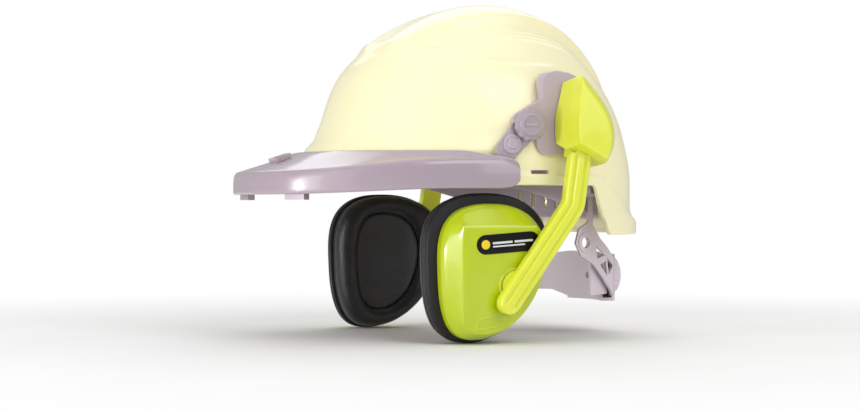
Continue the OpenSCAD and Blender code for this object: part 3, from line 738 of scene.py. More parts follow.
def guard_section(angle):
    """Upright outer wall and a shelf running in to the shell; only the wall at the ends."""
    wall = GUARD_WALL
    front = ease(0.2, 1, abs(sin(angle)))
    top, foot, seat = 32.5 - 8.5 * front, 11 - 4 * front, 37 + 0.5 * front
    outer, inner = guard_outer(angle, 0), guard_inner(angle)
    gap = math.hypot(outer[0] - inner[0], outer[1] - inner[1])
    border, shelf_share = min(7, gap * 0.5), ease(5.5, 11, gap)
    low = mix(top, seat, 0.38)
    high = (low + seat) / 2

    def upright(inset, z):
        return [*guard_outer(angle, inset), z]

    def merged(point, inset, z):
        """The shelf point where there is a shelf, else a point on the wall's top."""
        return [p * shelf_share + q * (1 - shelf_share)
                for p, q in zip(point, upright(inset, z))]

    def shelf(share, z, inset, wall_z):
        edge = guard_outer(angle, border)
        x, y = [a * (1 - share) + b * share for a, b in zip(edge, inner)]
        return merged([x, y, z], inset, wall_z)

    section = [
        # outer face, from the foot up
        upright(0.9, foot), upright(0.25, foot + 0.5), upright(0, foot + 1.7),
        upright(0, foot + 5), upright(0.1, top - 6.5), upright(0.5, top - 3.8),
        upright(1.6, top - 1.7),
        # top of the shelf, inwards
        merged(upright(3.4, top - 0.75), 1.65, top - 1.3),
        merged(upright(5.4, top - 0.25), 1.7, top - 0.9),
        shelf(0.12, mix(top, low, 0.35), 1.7, top - 0.5),
        shelf(0.4, low, 1.8, top - 0.4),
        shelf(0.7, high - 0.1, 1.85, top - 0.3),
        shelf(0.96, seat - 0.1, 1.9, top - 0.2),
        shelf(1, seat - 0.5, 2.0, top - 0.2),
        # underside, outwards
        shelf(1, seat - 1.6, 2.1, top - 0.3),
        shelf(0.96, seat - wall, 2.2, top - 0.4),
        shelf(0.7, high - wall - 0.1, 2.3, top - 0.6),
        shelf(0.4, low - wall, 2.4, top - 0.9),
        shelf(0.1, top - wall + 0.2, 2.5, top - 1.4),
        shelf(0, top - wall - 0.2, wall, top - 1.8),
        # inner face, down to the foot
        upright(wall + 0.5 * shelf_share, top - 5.2), upright(wall, top - 8),
        upright(wall, foot + 5), upright(wall, foot + 1.7),
        upright(wall - 0.25, foot + 0.4), upright(wall - 0.7, foot)]
    # the ends are rounded in side view
    from_end = GUARD_Y - outer[1]
    if from_end < 13:
        power = 2.1
        share = (1 - (1 - min(1, (from_end + 0.4) / 13.4)) ** power) ** (1 / power)
        middle = (top + foot) / 2
        section = [[x, y, middle + (z - middle) * (0.30 + 0.70 * share)]
                   for x, y, z in section]
    return section


def build_guard():
    spans = 150
    angles = {round(-90 + 90 * signed_power(-1 + 2 * i / spans, 0.9), 4)
              for i in range(spans + 1)}
    # closer stations at both ends
    for offset in (0.05, 0.12, 0.25, 0.45, 0.7, 1.0):
        angles |= {-180 + offset, -offset}
    mesh = loft([guard_section(angle) for angle in sorted(angles)])
    ob = solid("brow_guard_skin", mesh, "brow_guard", "guard_mauve", "brow_guard")
    add_modifier(ob, "SUBSURF", levels=1, render_levels=1)
    apply_modifiers(ob)
    shade(ob, 60)


# ------------------------------------------------------------ ear cups
def cup_ring(x, half_width, half_height, power=CUP_POWER, taper=CUP_TAPER, steps=160,
             rise=CUP_RISE, shift=CUP_SHIFT, lean=CUP_LEAN):
    """Egg-shaped outline, widest above its middle and leaning forward at its foot."""
    bow = CUP_BOW - 0.45 * (CUP_LEAN - lean)
    ring = []
    for i in range(steps):
        turn = 360 * i / steps
        c, s = signed_power(cos(turn), 2 / power), signed_power(sin(turn), 2 / power)
        y = half_width * c * (1 + taper * s) + lean * half_height * s - bow * half_height * s * s
        ring.append([x, CUP_Y + shift + y, CUP_Z + rise + half_height * s])
    return ring


def face_ring(x, inset):
    """Flat face: the outline drawn in, then cut square at the front and along the top."""
    ring = cup_ring(x, CUP_HALF_WIDTH - 11.8 - inset, CUP_HALF_HEIGHT - 9.8 - inset,
                    power=2.5, rise=-2.2, shift=2.0)
    return [[x, max(y, -53 + inset), min(z, -13.8 - inset)] for _, y, z in ring]


def cup_skin(wall_x, shoulder_x, face_x, wall, shoulder, face_inset, soft, crisp, lipped):
    """Rings from the cup's back over wall, wide bevel and flat face to the face's middle.

    wall and shoulder are (half width, half height, rise); soft and crisp are the shares of
    the bevel taken by the rounding at the shoulder and at the face.
    """
    def ring_at(x, outline):
        half_width, half_height, rise = outline
        return cup_ring(x, half_width, half_height, rise=rise, shift=2.0)

    back, wall_end = ring_at(CUP_BACK_X, wall), ring_at(wall_x, wall)
    turn, face = ring_at(shoulder_x, shoulder), face_ring(face_x, face_inset)
    mid_y, mid_z = -24.0, -50.0
    middle = [[face_x, mid_y, mid_z]] * len(face)
    if lipped:
        back_middle = [[CUP_BACK_X, mid_y, mid_z]] * len(back)
        rings = [mix_rings(back, back_middle, 0.010), ring_at(CUP_BACK_X + 0.2, wall)]
    else:
        rings = [back]
    rings += [mix_rings(back, wall_end, 0.5)]
    rings += round_corner(mix_rings(back, wall_end, 0.8), wall_end,
                          mix_rings(wall_end, turn, 0.3), 4)
    rings += round_corner(mix_rings(wall_end, turn, 0.45), turn,
                          mix_rings(turn, face, soft), 7)
    rings += [mix_rings(turn, face, share) for share in (0.4, 0.55, 0.7, 0.82, 0.9)
              if soft + 0.03 < share < 1 - crisp - 0.02]
    rings += round_corner(mix_rings(turn, face, 1 - crisp), face,
                          mix_rings(face, middle, crisp * 0.7), 4)
    return rings + [mix_rings(face, middle, share) for share in FACE_SHARES]


def build_cup(side):
    # outline at the wall and at the shoulder: half width, half height, rise
    wall = (CUP_HALF_WIDTH - 6.0, CUP_HALF_HEIGHT - 4.6, -1.7)
    shoulder = (CUP_HALF_WIDTH - 7.4, CUP_HALF_HEIGHT - 5.6, -1.9)
    inner_wall = (wall[0] - 2.4, wall[1] - 2.4, wall[2])
    inner_shoulder = (shoulder[0] - 2.6, shoulder[1] - 2.8, shoulder[2])
    outer = cup_skin(103.0, 106.5, CUP_FACE_X, wall, shoulder, 0.0,
                     soft=0.22, crisp=0.06, lipped=True)
    inner = cup_skin(103.0, 105.5, 114.1, inner_wall, inner_shoulder, 2.4,
                     soft=0.2, crisp=0.1, lipped=False)
    ob = solid(f"cup_skin_{side}", loft(outer[::-1] + inner), f"cup_{side}", "lime_shell",
               f"cup_shell_{side}", side)

    def boss_box(x0, x1, half_y, half_z):
        low, high = sorted((SIGN[side] * x0, SIGN[side] * x1))
        return box(low, high, BOSS_Y - half_y, BOSS_Y + half_y, BOSS_Z - half_z, BOSS_Z + half_z)

    # raised round boss outside, block inside, and a square pocket through both
    boss = lathe([(0, 0.01), (0, 12.4), (0.7, 11.6), (1.1, 11.0), (1.15, 10.4), (1.15, 0.01)],
                 72, "x", (CUP_FACE_X - 0.2, BOSS_Y, BOSS_Z))
    combine(ob, [on_side(boss, side), boss_box(103.1, 116.2, 10.6, 9.2)], "UNION")
    combine(ob, [boss_box(104.9, 119, 7.2, 7.2)])
    shade(ob, 19)


def rounded_outline(corners, radius, steps=6):
    points = []
    for i, corner in enumerate(corners):
        p, before, after = Vector(corner), Vector(corners[i - 1]), Vector(
            corners[(i + 1) % len(corners)])
        start = p + (before - p).normalized() * radius
        end = p + (after - p).normalized() * radius
        for k in range(steps + 1):
            t = k / steps
            points.append(start * (1 - t) ** 2 + p * 2 * t * (1 - t) + end * t * t)
    return points


def densified(points, spacing):
    dense = []
    for i, a in enumerate(points):
        b = points[(i + 1) % len(points)]
        count = max(1, int((b - a).length / spacing))
        dense += [a.lerp(b, j / count) for j in range(count)]
    return dense


def build_foot_line(side):
    """Raised bead round a four-sided field near the foot of the cup's face."""
    corners = [(CUP_FACE_X, -41.6, -75.6), (CUP_FACE_X, -20.0, -72.4),
               (CUP_FACE_X, -24.5, -80.6), (CUP_FACE_X, -44.5, -82.6)]
    path = densified(rounded_outline(corners, 1.6), 0.8)
    radius, steps = 0.42, 10
    out = Vector((1, 0, 0))
    sections = []
    for i, point in enumerate(path):
        along = (path[(i + 1) % len(path)] - path[i - 1]).normalized()
        across = along.cross(out).normalized()
        turns = [2 * math.pi * k / steps for k in range(steps)]
        sections.append([tuple(point + across * (radius * math.cos(t))
                               + out * (radius * 0.75 * math.sin(t) + 0.02)) for t in turns])
    solid(f"cup_foot_line_{side}", loft(sections, close_v=True), f"cup_{side}", "lime_shell",
          side=side)


def build_label(side):
    """Black pill with a raised rim, a yellow dot and three light bars.

    u runs along the pill and v across it; u is reversed on the right cup so that the dot
    comes first in reading order on both.
    """
    sign = SIGN[side]
    tilt = 4 * sign
    label_y, label_z = -20.5, -25.2
    body, slot = f"cup_{side}", "label_black"

    def place(x, u, v):
        u *= sign
        return (x, label_y + u * cos(tilt) - v * sin(tilt),
                label_z + u * sin(tilt) + v * cos(tilt))

    def pill(x, radius, half_length=16.5, steps=14):
        return [place(x, end * half_length + radius * cos(turn), radius * sin(turn))
                for end, first in ((1, -90), (-1, 90))
                for turn in [first + 180 * k / steps for k in range(steps + 1)]]

    profile = [(116.40, 6.5), (116.90, 6.5), (117.08, 6.3), (117.12, 6.05),     # x, radius
               (117.06, 5.85), (117.03, 5.7), (117.03, 3.0), (117.03, 0.6)]
    ob = solid(f"label_{side}", loft([pill(x, r) for x, r in profile]), body, slot,
               f"cup_label_{side}", side)
    shade(ob, 40)

    dot_profile = ((117.0, 3.1), (117.12, 3.1), (117.16, 2.8), (117.16, 0.3))   # x, radius
    dot = loft([[place(x, -16.6 + r * cos(turn), r * sin(turn)) for turn in range(0, 360, 10)]
                for x, r in dot_profile])
    solid(f"label_dot_{side}", dot, body, slot, side=side, material=LABEL_YELLOW)

    bars = []
    for u0, u1, v0, v1 in ((-11.5, 3, -0.1, 1.3), (4.5, 18, -0.1, 1.3), (-11.5, 12, -2.2, -1.2)):
        corners = ((u0, v0), (u1, v0), (u1, v1), (u0, v1))
        bars.append(([place(x, u, v) for x in (117.0, 117.12) for u, v in corners], LOOP_FACES))
    solid(f"label_bars_{side}", joined(bars), body, slot, side=side, material=LABEL_LIGHT,
          smooth=False)


def build_plate(side):
    """Backing ring behind the cup, with a groove round its edge."""
    profile = [(90.06, 0.9), (90.2, 0.3), (90.9, 0), (93.0, 0), (93.3, 0.25),   # x, inset
               (93.5, 0.7), (93.9, 0.7), (94.1, 0.25), (94.4, 0), (95.6, 0),
               (96.4, 0.4), (96.9, 1.2), (97.0, 2.1)]
    rings = [cup_ring(x, CUP_HALF_WIDTH - e, CUP_HALF_HEIGHT - e) for x, e in profile]
    rings += [cup_ring(97.0, 30.5, 41.4), cup_ring(96.9, 29.6, 40.6, power=2.3),
              cup_ring(90.1, 29.6, 40.6, power=2.3)]
    ob = solid(f"backing_ring_{side}", loft(rings, close_v=True), f"cup_{side}",
               "dark_plastic", f"backing_plate_{side}", side)
    shade(ob, 40)


# ------------------------------------------------------------ ear cushions
# Closed section of the cushion: x, then 0 at the opening to 1 at the outer edge
CUSHION_SECTION = [
    (89.9, 0.02), (86, 0.0), (82, 0.02), (78.5, 0.07), (76.0, 0.16), (74.6, 0.28),
    (74.0, 0.42), (73.9, 0.55), (74.3, 0.68), (75.4, 0.80), (77.3, 0.90), (79.8, 0.965),
    (83, 0.995), (86.5, 1.0), (89.9, 0.985),
    (89.9, 0.8), (89.9, 0.6), (89.9, 0.4), (89.9, 0.2)]


def build_cushion(side):
    rings = []
    for x, share in CUSHION_SECTION:
        half_width = mix(OPENING_HALF_WIDTH + 0.3, CUP_HALF_WIDTH - 1.0, share)
        half_height = mix(OPENING_HALF_HEIGHT + 0.3, CUP_HALF_HEIGHT - 1.0, share)
        rings.append(cup_ring(x, half_width, half_height, taper=0.12 + 0.07 * share,
                              steps=120, lean=0.06 + 0.062 * share))
    ob = solid(f"cushion_{side}", loft(rings, close_v=True), f"cup_{side}", "cushion_black",
               f"ear_cushion_{side}", side)
    inflate(ob)
    fit_cushion(ob, SIGN[side])


def inflate(ob):
    """Remeshes the cushion, inflates it as cloth, limits the travel and smooths the result."""
    frames = 16
    pinned_x = 0.0885       # metres; the back from here on stays put
    travel = 0.0016         # metres
    scene = bpy.context.scene
    add_modifier(ob, "REMESH", mode="VOXEL", voxel_size=0.0022, use_smooth_shade=True)
    apply_modifiers(ob)
    rest = read_points(ob.data)
    pins = ob.vertex_groups.new(name="pin")
    pins.add([i for i, point in enumerate(rest) if abs(point[0]) > pinned_x], 1.0, "REPLACE")
    cloth = add_modifier(ob, "CLOTH")
    settings = cloth.settings
    settings.use_pressure = True
    settings.uniform_pressure_force = 4.0
    settings.effector_weights.gravity = 0
    settings.vertex_group_mass = "pin"
    settings.quality = 6
    settings.tension_stiffness = 18
    settings.compression_stiffness = 12
    settings.bending_stiffness = 0.6
    settings.mass = 0.25
    cloth.point_cache.frame_start = 1
    cloth.point_cache.frame_end = frames
    for number in range(1, frames + 1):
        scene.frame_set(number)
    depsgraph = bpy.context.evaluated_depsgraph_get()
    moved = read_points(ob.evaluated_get(depsgraph).to_mesh()) - rest
    length = np.linalg.norm(moved, axis=1)
    limit = np.where(length > travel, travel / np.maximum(length, 1e-9), 1.0)
    points = rest + moved * limit[:, None]
    points = np.where(np.isfinite(points), points, rest)
    ob.modifiers.clear()
    ob.vertex_groups.clear()
    write_points(ob.data, points)
    scene.frame_set(1)
    add_modifier(ob, "SMOOTH", factor=0.5, iterations=4)
    add_modifier(ob, "SUBSURF", levels=1, render_levels=1)
    apply_modifiers(ob)


def scale_in_outline(y, z, scale):
    """Scales points about the cup outline's middle, y and z being measured from the cup's.

    scale takes the distance from the middle, 1 at the outline, and gives the factor.
    """
    def height_share(z):
        return np.clip((z - CUP_RISE) / CUP_HALF_HEIGHT, -1.05, 1.05)

    def middle_y(s):
        return CUP_SHIFT + CUP_LEAN * CUP_HALF_HEIGHT * s - CUP_BOW * CUP_HALF_HEIGHT * s ** 2

    s = height_share(z)
    across = (y - middle_y(s)) / (1 + CUP_TAPER * s)
    distance = (np.abs(across / (CUP_HALF_WIDTH - 0.3)) ** CUP_POWER
                + np.abs((z - CUP_RISE) / (CUP_HALF_HEIGHT - 0.3)) ** CUP_POWER
                ) ** (1 / CUP_POWER)
    factor = scale(distance)
    z = CUP_RISE + (z - CUP_RISE) * factor
    s = height_share(z)
    return middle_y(s) + across * factor * (1 + CUP_TAPER * s), z


def fit_cushion(ob, sign):
    """Keeps the cushion inside its space and adds the side seam and a slight unevenness."""
    points = read_points(ob.data) * 1000
    x = np.clip(points[:, 0] * sign, 72.6, 89.95)
    y, z = points[:, 1] - CUP_Y, points[:, 2] - CUP_Z
    y, z = scale_in_outline(y, z, lambda distance: 1 / np.maximum(distance, 1))
    # side seam: a narrow pinch in front of the backing plate
    seam = np.exp(-((x - 84.6) / 0.55) ** 2)
    y, z = scale_in_outline(
        y, z, lambda distance: 1 - 0.026 * seam * np.clip((distance - 0.93) / 0.05, 0, 1))
    # slow waves round the face of the skin
    turn = np.arctan2(z, y)
    x = (x + 0.18 * np.sin(9 * turn + 1.3) * np.clip((84 - x) / 8, 0, 1)
         + 0.10 * np.sin(23 * turn) * np.clip((80 - x) / 6, 0, 1))
    points = np.column_stack((x * sign, y + CUP_Y, z + CUP_Z))
    write_points(ob.data, points / 1000)
    smooth_faces(ob.data)


def build_insert(side):
    """Pillowed cover seen through the cushion, and the absorber block behind it."""
    # x, share of the opening
    cover = ((89.6, 0.985), (87, 0.995), (85.2, 0.985), (84.6, 0.955), (84.7, 0.91),
             (85.6, 0.85), (86.6, 0.74), (87.0, 0.6), (87.1, 0.4), (87.1, 0.2), (87.1, 0.05))
    block = ((90.0, 0.98), (91, 1.0), (95, 1.0), (99, 0.98), (100.6, 0.93), (101, 0.84),
             (101, 0.4), (101, 0.05))

    def rings(profile, inset, **outline):
        return [cup_ring(x, (OPENING_HALF_WIDTH - inset) * share,
                         (OPENING_HALF_HEIGHT - inset) * share, **outline)
                for x, share in profile]

    solid(f"insert_cover_{side}", loft(rings(cover, 0.4, taper=0.12, steps=120, lean=0.06)),
          f"cup_{side}", "mesh_grey", f"foam_cover_{side}", side)
    solid(f"absorber_block_{side}", loft(rings(block, 1.2, power=2.2, steps=100)),
          f"cup_{side}", "foam_grey", f"absorber_{side}", side)


# ------------------------------------------------------------ arms
def arm_path():
    """Stations (point, direction) in the y-z plane from the upper end to the tip."""
    eye, bend, tip = Vector(ARM_EYE), Vector(ARM_BEND), Vector(ARM_TIP)
    upper, lower = (bend - eye).normalized(), (tip - bend).normalized()
    turn = math.acos(max(-1, min(1, upper.dot(lower))))
    cutback = 16.0 * math.tan(turn / 2)         # for a bend radius of 16
    start, end = bend - upper * cutback, bend + lower * cutback
    path = [(eye.lerp(start, i / 26), upper) for i in range(26)]
    for i in range(15):
        t = i / 14
        point = start * (1 - t) ** 2 + bend * 2 * t * (1 - t) + end * t * t
        path.append((point, ((bend - start) * (1 - t) + (end - bend) * t).normalized()))
    return path + [(end.lerp(tip, i / 34), lower) for i in range(1, 35)]


# Places across the arm's outer face, as shares of its half width
ARM_FACE = [-1, -0.985, -0.93, -0.84, -0.70, -0.60, -0.54, -0.47, -0.40, -0.34, -0.28, -0.2, 0,
            0.2, 0.28, 0.34, 0.40, 0.47, 0.54, 0.60, 0.70, 0.84, 0.93, 0.985, 1]
# The arm's edges and inner face: share of the half width, x
ARM_BACK = [(1, 124.4), (1, 121.2), (0.985, 120.2), (0.93, 119.6), (0.8, 119.5), (0.4, 119.5),
            (0, 119.5), (-0.4, 119.5), (-0.8, 119.5), (-0.93, 119.6), (-0.985, 120.2),
            (-1, 121.2), (-1, 124.4)]


def arm_section(point, direction, width, fade):
    """Section at one station; width narrows it and fade flattens grooves and middle band."""
    normal = Vector((-direction[1], direction[0]))
    narrowing = (1 - width) ** 2
    section = []

    def add(x, share):
        y, z = point + normal * (ARM_HALF_WIDTH * share * width)
        section.append((x, y, z))

    for share in ARM_FACE:
        place = abs(share)
        x = 127.9 - 1.7 * max(0.0, (place - 0.80) / 0.20) ** 2.2
        x -= 1.05 * bell(place - 0.435, 0.085) * fade
        x += 0.5 * (1 - ease(0.26, 0.38, place)) * fade
        add(x - 1.5 * narrowing, share)
    for share, x in ARM_BACK:
        add(x + (0.5 * narrowing if x < 121 else 0), share)
    return section


def build_arm(side):
    sign = SIGN[side]
    path = arm_path()
    eye, upper = path[0]
    tip, lower = path[-1]
    # stations: point, direction, share of the full width
    stations = [(eye - upper * back, upper, width) for back, width in (
        (7.4, 0.80), (7.3, 0.86), (7.0, 0.93), (6.4, 0.985), (5.6, 1.0), (3, 1.0))]
    stations += [(point, direction, 1.0) for point, direction in path]
    for turn in [90 * k / 12 for k in range(1, 13)]:
        stations.append((tip + lower * (ARM_HALF_WIDTH * sin(turn)), lower,
                         max(0.03, cos(turn))))
    travelled = [0.0]
    for before, after in zip(stations, stations[1:]):
        travelled.append(travelled[-1] + (after[0] - before[0]).length)
    length = travelled[-1]
    sections = [arm_section(*station, ease(3.5, 8, length - s) * ease(0.4, 3, s))
                for station, s in zip(stations, travelled)]
    ob = solid(f"arm_{side}", loft(sections), f"arm_{side}", "lime_arm", f"muff_arm_{side}",
               side)
    # barrel round the hinge pin and the neck that carries it
    barrel = lathe([(0, 0.01), (0, 4.9), (0.6, 5.6), (13.2, 5.6), (13.8, 4.9), (13.8, 0.01)],
                   48, "y", (sign * HINGE_X, 26.1, HINGE_Z))
    outline = [(26.3, 32), (35.6, 32), (38.4, 42), (27.4, 42)]      # y, z
    neck = [(sign * x, y, z) for x in (120, 127.3) for y, z in outline], prism_faces(4)
    combine(ob, [neck, barrel], "UNION")

    boss = Vector((BOSS_Y, BOSS_Z))
    along = (Vector(ARM_TIP) - Vector(ARM_BEND)).normalized()
    across = Vector((-along[1], along[0]))

    def slot(x0, x1, half_width, start=-9.5, end=15.9):
        corners = ((start, -half_width), (start, half_width),
                   (end, half_width), (end, -half_width))
        places = [boss + along * s + across * w for s, w in corners]
        return [(sign * x, y, z) for x in (x0, x1) for y, z in places], LOOP_FACES

    # stepped slot over the cup's boss, and the hinge bore
    bore = rod(30, 2.05, 32, "y", (sign * HINGE_X, 18, HINGE_Z))
    combine(ob, [slot(122, 125, 5.2), slot(119, 123, 3.0), bore])
    bm = bmesh.new()
    bm.from_mesh(ob.data)
    large = [face for face in bm.faces if len(face.verts) > 4]
    bmesh.ops.triangulate(bm, faces=large, ngon_method="EAR_CLIP")
    bm.to_mesh(ob.data)
    bm.free()
    shade(ob, 35)


# ------------------------------------------------------------ holder caps
# Outlines (y, z) of the cap at the shell, at its break and at its outer face
CAP_BASE = [
    (33, 23), (24, 30), (20.4, 36), (19.4, 43), (18.9, 52), (19.3, 60), (21.3, 68), (23.4, 77),
    (25.3, 83.3), (29.5, 83.6), (34, 80.5), (39.5, 74), (45.1, 66), (49.2, 58.6), (51.4, 50),
    (51.6, 43), (50, 35), (45.6, 28), (40, 24)]
CAP_BREAK = [
    (34, 23), (27, 30), (23.6, 36), (22.6, 43), (22.1, 52), (22.4, 60), (23.6, 70), (25, 79),
    (26.7, 86.3), (28.6, 86), (31.6, 83.6), (38.6, 76.2), (45.1, 67.7), (49.6, 59.6),
    (52.1, 51), (52.4, 44), (50.7, 36), (46, 28.5), (40, 24)]
CAP_FACE = [
    (36, 25), (28, 31), (24.6, 37), (23.2, 44), (22.8, 52), (23, 60), (23.7, 70), (24.5, 78.2),
    (25.4, 80.2), (26.8, 80.2), (29.6, 77.4), (35.6, 70.4), (41.4, 62.8), (45, 55.6),
    (46.8, 48.4), (47, 43), (45.6, 36.4), (43, 30), (40, 26)]


def catmull_rom(points, steps):
    """Closed smooth curve through the points."""
    curve = []
    count = len(points)
    for i in range(count):
        span = [points[(i + k) % count] for k in (-1, 0, 1, 2)]
        for t in [k / steps for k in range(steps)]:
            curve.append(tuple(
                0.5 * (2 * b + (c - a) * t + (2 * a - 5 * b + 4 * c - d) * t * t
                       + (3 * b - a - 3 * c + d) * t ** 3) for a, b, c, d in zip(*span)))
    return curve


def inset(outline, distance):
    nexts = outline[1:] + outline[:1]
    area = sum(a[0] * b[1] - b[0] * a[1] for a, b in zip(outline, nexts))
    turn = distance if area > 0 else -distance
    moved = []
    for i, (y, z) in enumerate(outline):
        before, after = outline[i - 1], nexts[i]
        along = unit((after[0] - before[0], after[1] - before[1]))
        moved.append((y - turn * along[1], z + turn * along[0]))
    return moved


def cap_solid(base_x, break_x, face_x, wall, break_round, edge_round):
    """Solid through the three outlines, drawn in by wall (0 for the outside)."""
    def ring(x, outline):
        return [[x, y, z] for y, z in outline]

    outlines = [inset(catmull_rom(points, 5), wall)
                for points in (CAP_BASE, CAP_BREAK, CAP_FACE)]
    base, turn, face = [ring(x, outline)
                        for x, outline in zip((base_x, break_x, face_x), outlines)]
    outside = wall == 0
    middle = [[face_x + (0.35 if outside else 0), 34.0, 52.0]] * len(face)
    if outside:
        rings = [ring(base_x, inset(outlines[0], 0.35)), ring(base_x + 0.35, outlines[0])]
    else:
        rings = [base]
    rings += [mix_rings(base, turn, share) for share in (0.15, 0.3, 0.5, 0.7)]
    rings += round_corner(mix_rings(base, turn, 1 - break_round), turn,
                          mix_rings(turn, face, break_round * 2.2), 6)
    rings += [mix_rings(turn, face, 0.6)]
    rings += round_corner(mix_rings(turn, face, 1 - edge_round), face,
                          mix_rings(face, middle, edge_round * 0.35), 5)
    rings += [mix_rings(face, middle, share) for share in FACE_SHARES]
    return loft(rings)


def build_cap(side):
    """Hollow cap, open below."""
    mesh = cap_solid(106.9, 130.0, 136.65, 0, break_round=0.07, edge_round=0.16)
    ob = solid(f"cap_{side}", mesh, f"holder_{side}", "lime_arm", f"holder_cap_{side}", side)
    hollow = cap_solid(109.4, 128.6, 134.6, 2.3, break_round=0.05, edge_round=0.1)

    # everything below a sloping plane is cut away
    def plane_z(x, y):
        return 35.6 + 0.2478 * (x - 107) - 0.5206 * (y - 20)

    below = [(x, y, z) for x in (95, 150) for y in (-10, 70)
             for z in (-40, plane_z(x, y))], GRID_FACES
    # notch in the front wall
    outline = [(100, 30), (100, 43), (106, 42.1), (121, 36.6), (123, 30)]       # x, z
    notch = [(x, y, z) for y in (10, 25.6) for x, z in outline], prism_faces(5)
    stud_hole = rod(6, 5.06, 40, "x", (104, 32, 58))
    pin_hole = rod(35, 2.0, 32, "y", (HINGE_X, 22.3, HINGE_Z))
    combine(ob, [on_side(cutter, side)
                 for cutter in (hollow, below, notch, stud_hole, pin_hole)])
    shade(ob, 24)
    bevel(ob, 0.4, segments=2, angle=50)
    apply_modifiers(ob)
    shade(ob, 24)


def build_spring(side):
    """Torsion spring round the rear of the hinge pin: one leg up, one down to the arm."""
    coil_y, coil_radius, coil_rise = 42.45, 3.6, 1.6
    turns, turn_steps = 2, 32
    wire_radius, wire_steps = 0.72, 10
    path = [Vector((117.4, coil_y, z)) for z in (53.6, 48.0, 43.0)]
    for k in range(turns * turn_steps + 1):
        turn = math.pi + 2 * math.pi * k / turn_steps
        path.append(Vector((HINGE_X + coil_radius * math.cos(turn),
                            coil_y + coil_rise * k / (turn_steps * turns),
                            HINGE_Z + coil_radius * math.sin(turn))))
    path += [Vector((117.35, 44.1, 40.6)), Vector((117.6, 44.1, 38.2))]
    sections = []
    for i, point in enumerate(path):
        along = (path[min(i + 1, len(path) - 1)] - path[max(i - 1, 0)]).normalized()
        first = along.cross(Vector((0, 1, 0.01))).normalized()
        second = along.cross(first).normalized()
        angles = [2 * math.pi * k / wire_steps for k in range(wire_steps)]
        sections.append([
            tuple(point + (first * math.cos(a) + second * math.sin(a)) * wire_radius)
            for a in angles])
    solid(f"spring_{side}", loft(sections), f"holder_{side}", "spring_steel",
          f"arm_spring_{side}", side)


# ------------------------------------------------------------ knobs and rivets
def scalloped(profile, steps, lobes, depth, power, place):
    """Knob with a scalloped grip.

    profile rows are (axial place, radius, share of the scallop depth); place turns an axial
    place and two offsets into a point.
    """
    rings = []
    for offset, radius, share in profile:
        ring = []
        for turn in [360 * k / steps for k in range(steps)]:
            valley = 0.5 + 0.5 * cos(lobes * turn)
            r = radius - depth * share * valley ** power
            ring.append(place(offset, r * cos(turn), r * sin(turn)))
        rings.append(ring)
    return loft(rings)


def build_size_knob():
    """Ratchet knob at the nape: scalloped grip, chamfered crown, dished face with a hub."""
    profile = [
        (113.45, 0.2, 0), (113.45, 11.5, 0), (113.5, 14.2, 0.4), (113.9, 14.9, 1),
        (114.8, 15.0, 1), (118.2, 15.0, 1), (119.3, 14.7, 1), (120.2, 13.9, 0.7),
        (120.9, 12.9, 0.3), (121.4, 12.2, 0.1), (121.6, 11.4, 0), (121.5, 10.6, 0),
        (120.9, 9.9, 0), (120.6, 9.2, 0), (120.5, 6, 0), (120.6, 5.2, 0),
        (121.1, 4.8, 0), (121.4, 4.2, 0), (121.5, 3.2, 0), (121.5, 0.2, 0)]
    mesh = scalloped(profile, steps=216, lobes=18, depth=0.95, power=1.6,
                     place=lambda y, u, v: (u, y, SIZE_KNOB_Z + v))
    # painted light: the knob takes the lightened copy of the harness plastic
    ob = solid("size_knob", mesh, "ratchet_knob", "knob_grey", "ratchet_knob",
               material=NAPE_LIT_MAUVE)
    shade(ob, 45)


def build_tilt_knob(side):
    profile = [
        (109.35, 3.2, 0), (109.35, 10.2, 0.2), (109.6, 10.9, 0.6), (110.2, 11.2, 1),
        (112.6, 11.2, 1), (113.3, 10.8, 1), (113.7, 10.0, 0.6), (113.9, 9.2, 0.2),
        (113.9, 8.4, 0), (114.4, 8.05, 0), (115.1, 7.8, 0), (115.4, 7.2, 0),
        (115.35, 5.8, 0), (114.6, 5.3, 0), (114.5, 0.2, 0)]
    mesh = scalloped(profile, steps=192, lobes=12, depth=1.0, power=1.5,
                     place=lambda x, u, v: (x, TILT_Y + u, TILT_Z + v))
    ob = solid(f"tilt_grip_{side}", mesh, "brow_guard", "knob_grey", f"tilt_knob_{side}", side)
    shade(ob, 45)
    # raised bar across the face
    levels = ((114.3, 4.6, 1.3), (115.2, 4.6, 1.2), (115.4, 4.3, 0.9))  # x, half y, half z
    bar = loft([[(x, TILT_Y + u * half_y, TILT_Z + v * half_z)
                 for u, v in ((-1, -1), (1, -1), (1, 1), (-1, 1))]
                for x, half_y, half_z in levels])
    solid(f"tilt_bar_{side}", bar, "brow_guard", "knob_grey", side=side, smooth=False)


def build_link_rivet(side):
    """Rivet boss with four ribs where the link leaves the guard."""
    profile = [(0, 0.01), (0, 6.6), (0.9, 6.6), (1.3, 6.2), (1.5, 5.4), (1.3, 4.8), (1.2, 4.0),
               (1.6, 3.6), (2.2, 3.2), (2.35, 2.4), (2.2, 1.4), (2.1, 0.01)]
    parts = [lathe(profile, 48, "x", RIVET)]
    rivet_x, rivet_y, rivet_z = RIVET
    corners = ((3.3, -0.5), (6.1, -0.5), (6.1, 0.5), (3.3, 0.5))    # out from the axis, across
    for turn in [35 + 90 * k for k in range(4)]:
        points = [(x, rivet_y + u * cos(turn) - v * sin(turn),
                   rivet_z + u * sin(turn) + v * cos(turn))
                  for x in (rivet_x + 0.8, rivet_x + 1.8) for u, v in corners]
        parts.append((points, LOOP_FACES))
    ob = solid(f"link_rivet_{side}", joined(parts), "brow_guard", "harness_mauve", side=side)
    shade(ob, 40)


# ------------------------------------------------------------ harness
def band_radius(angle):
    return plan_radius(angle) - BAND_INSET


def band_low(y):
    """Height of the headband's lower edge."""
    return 16 - 26 * ease(-30, 100, y)


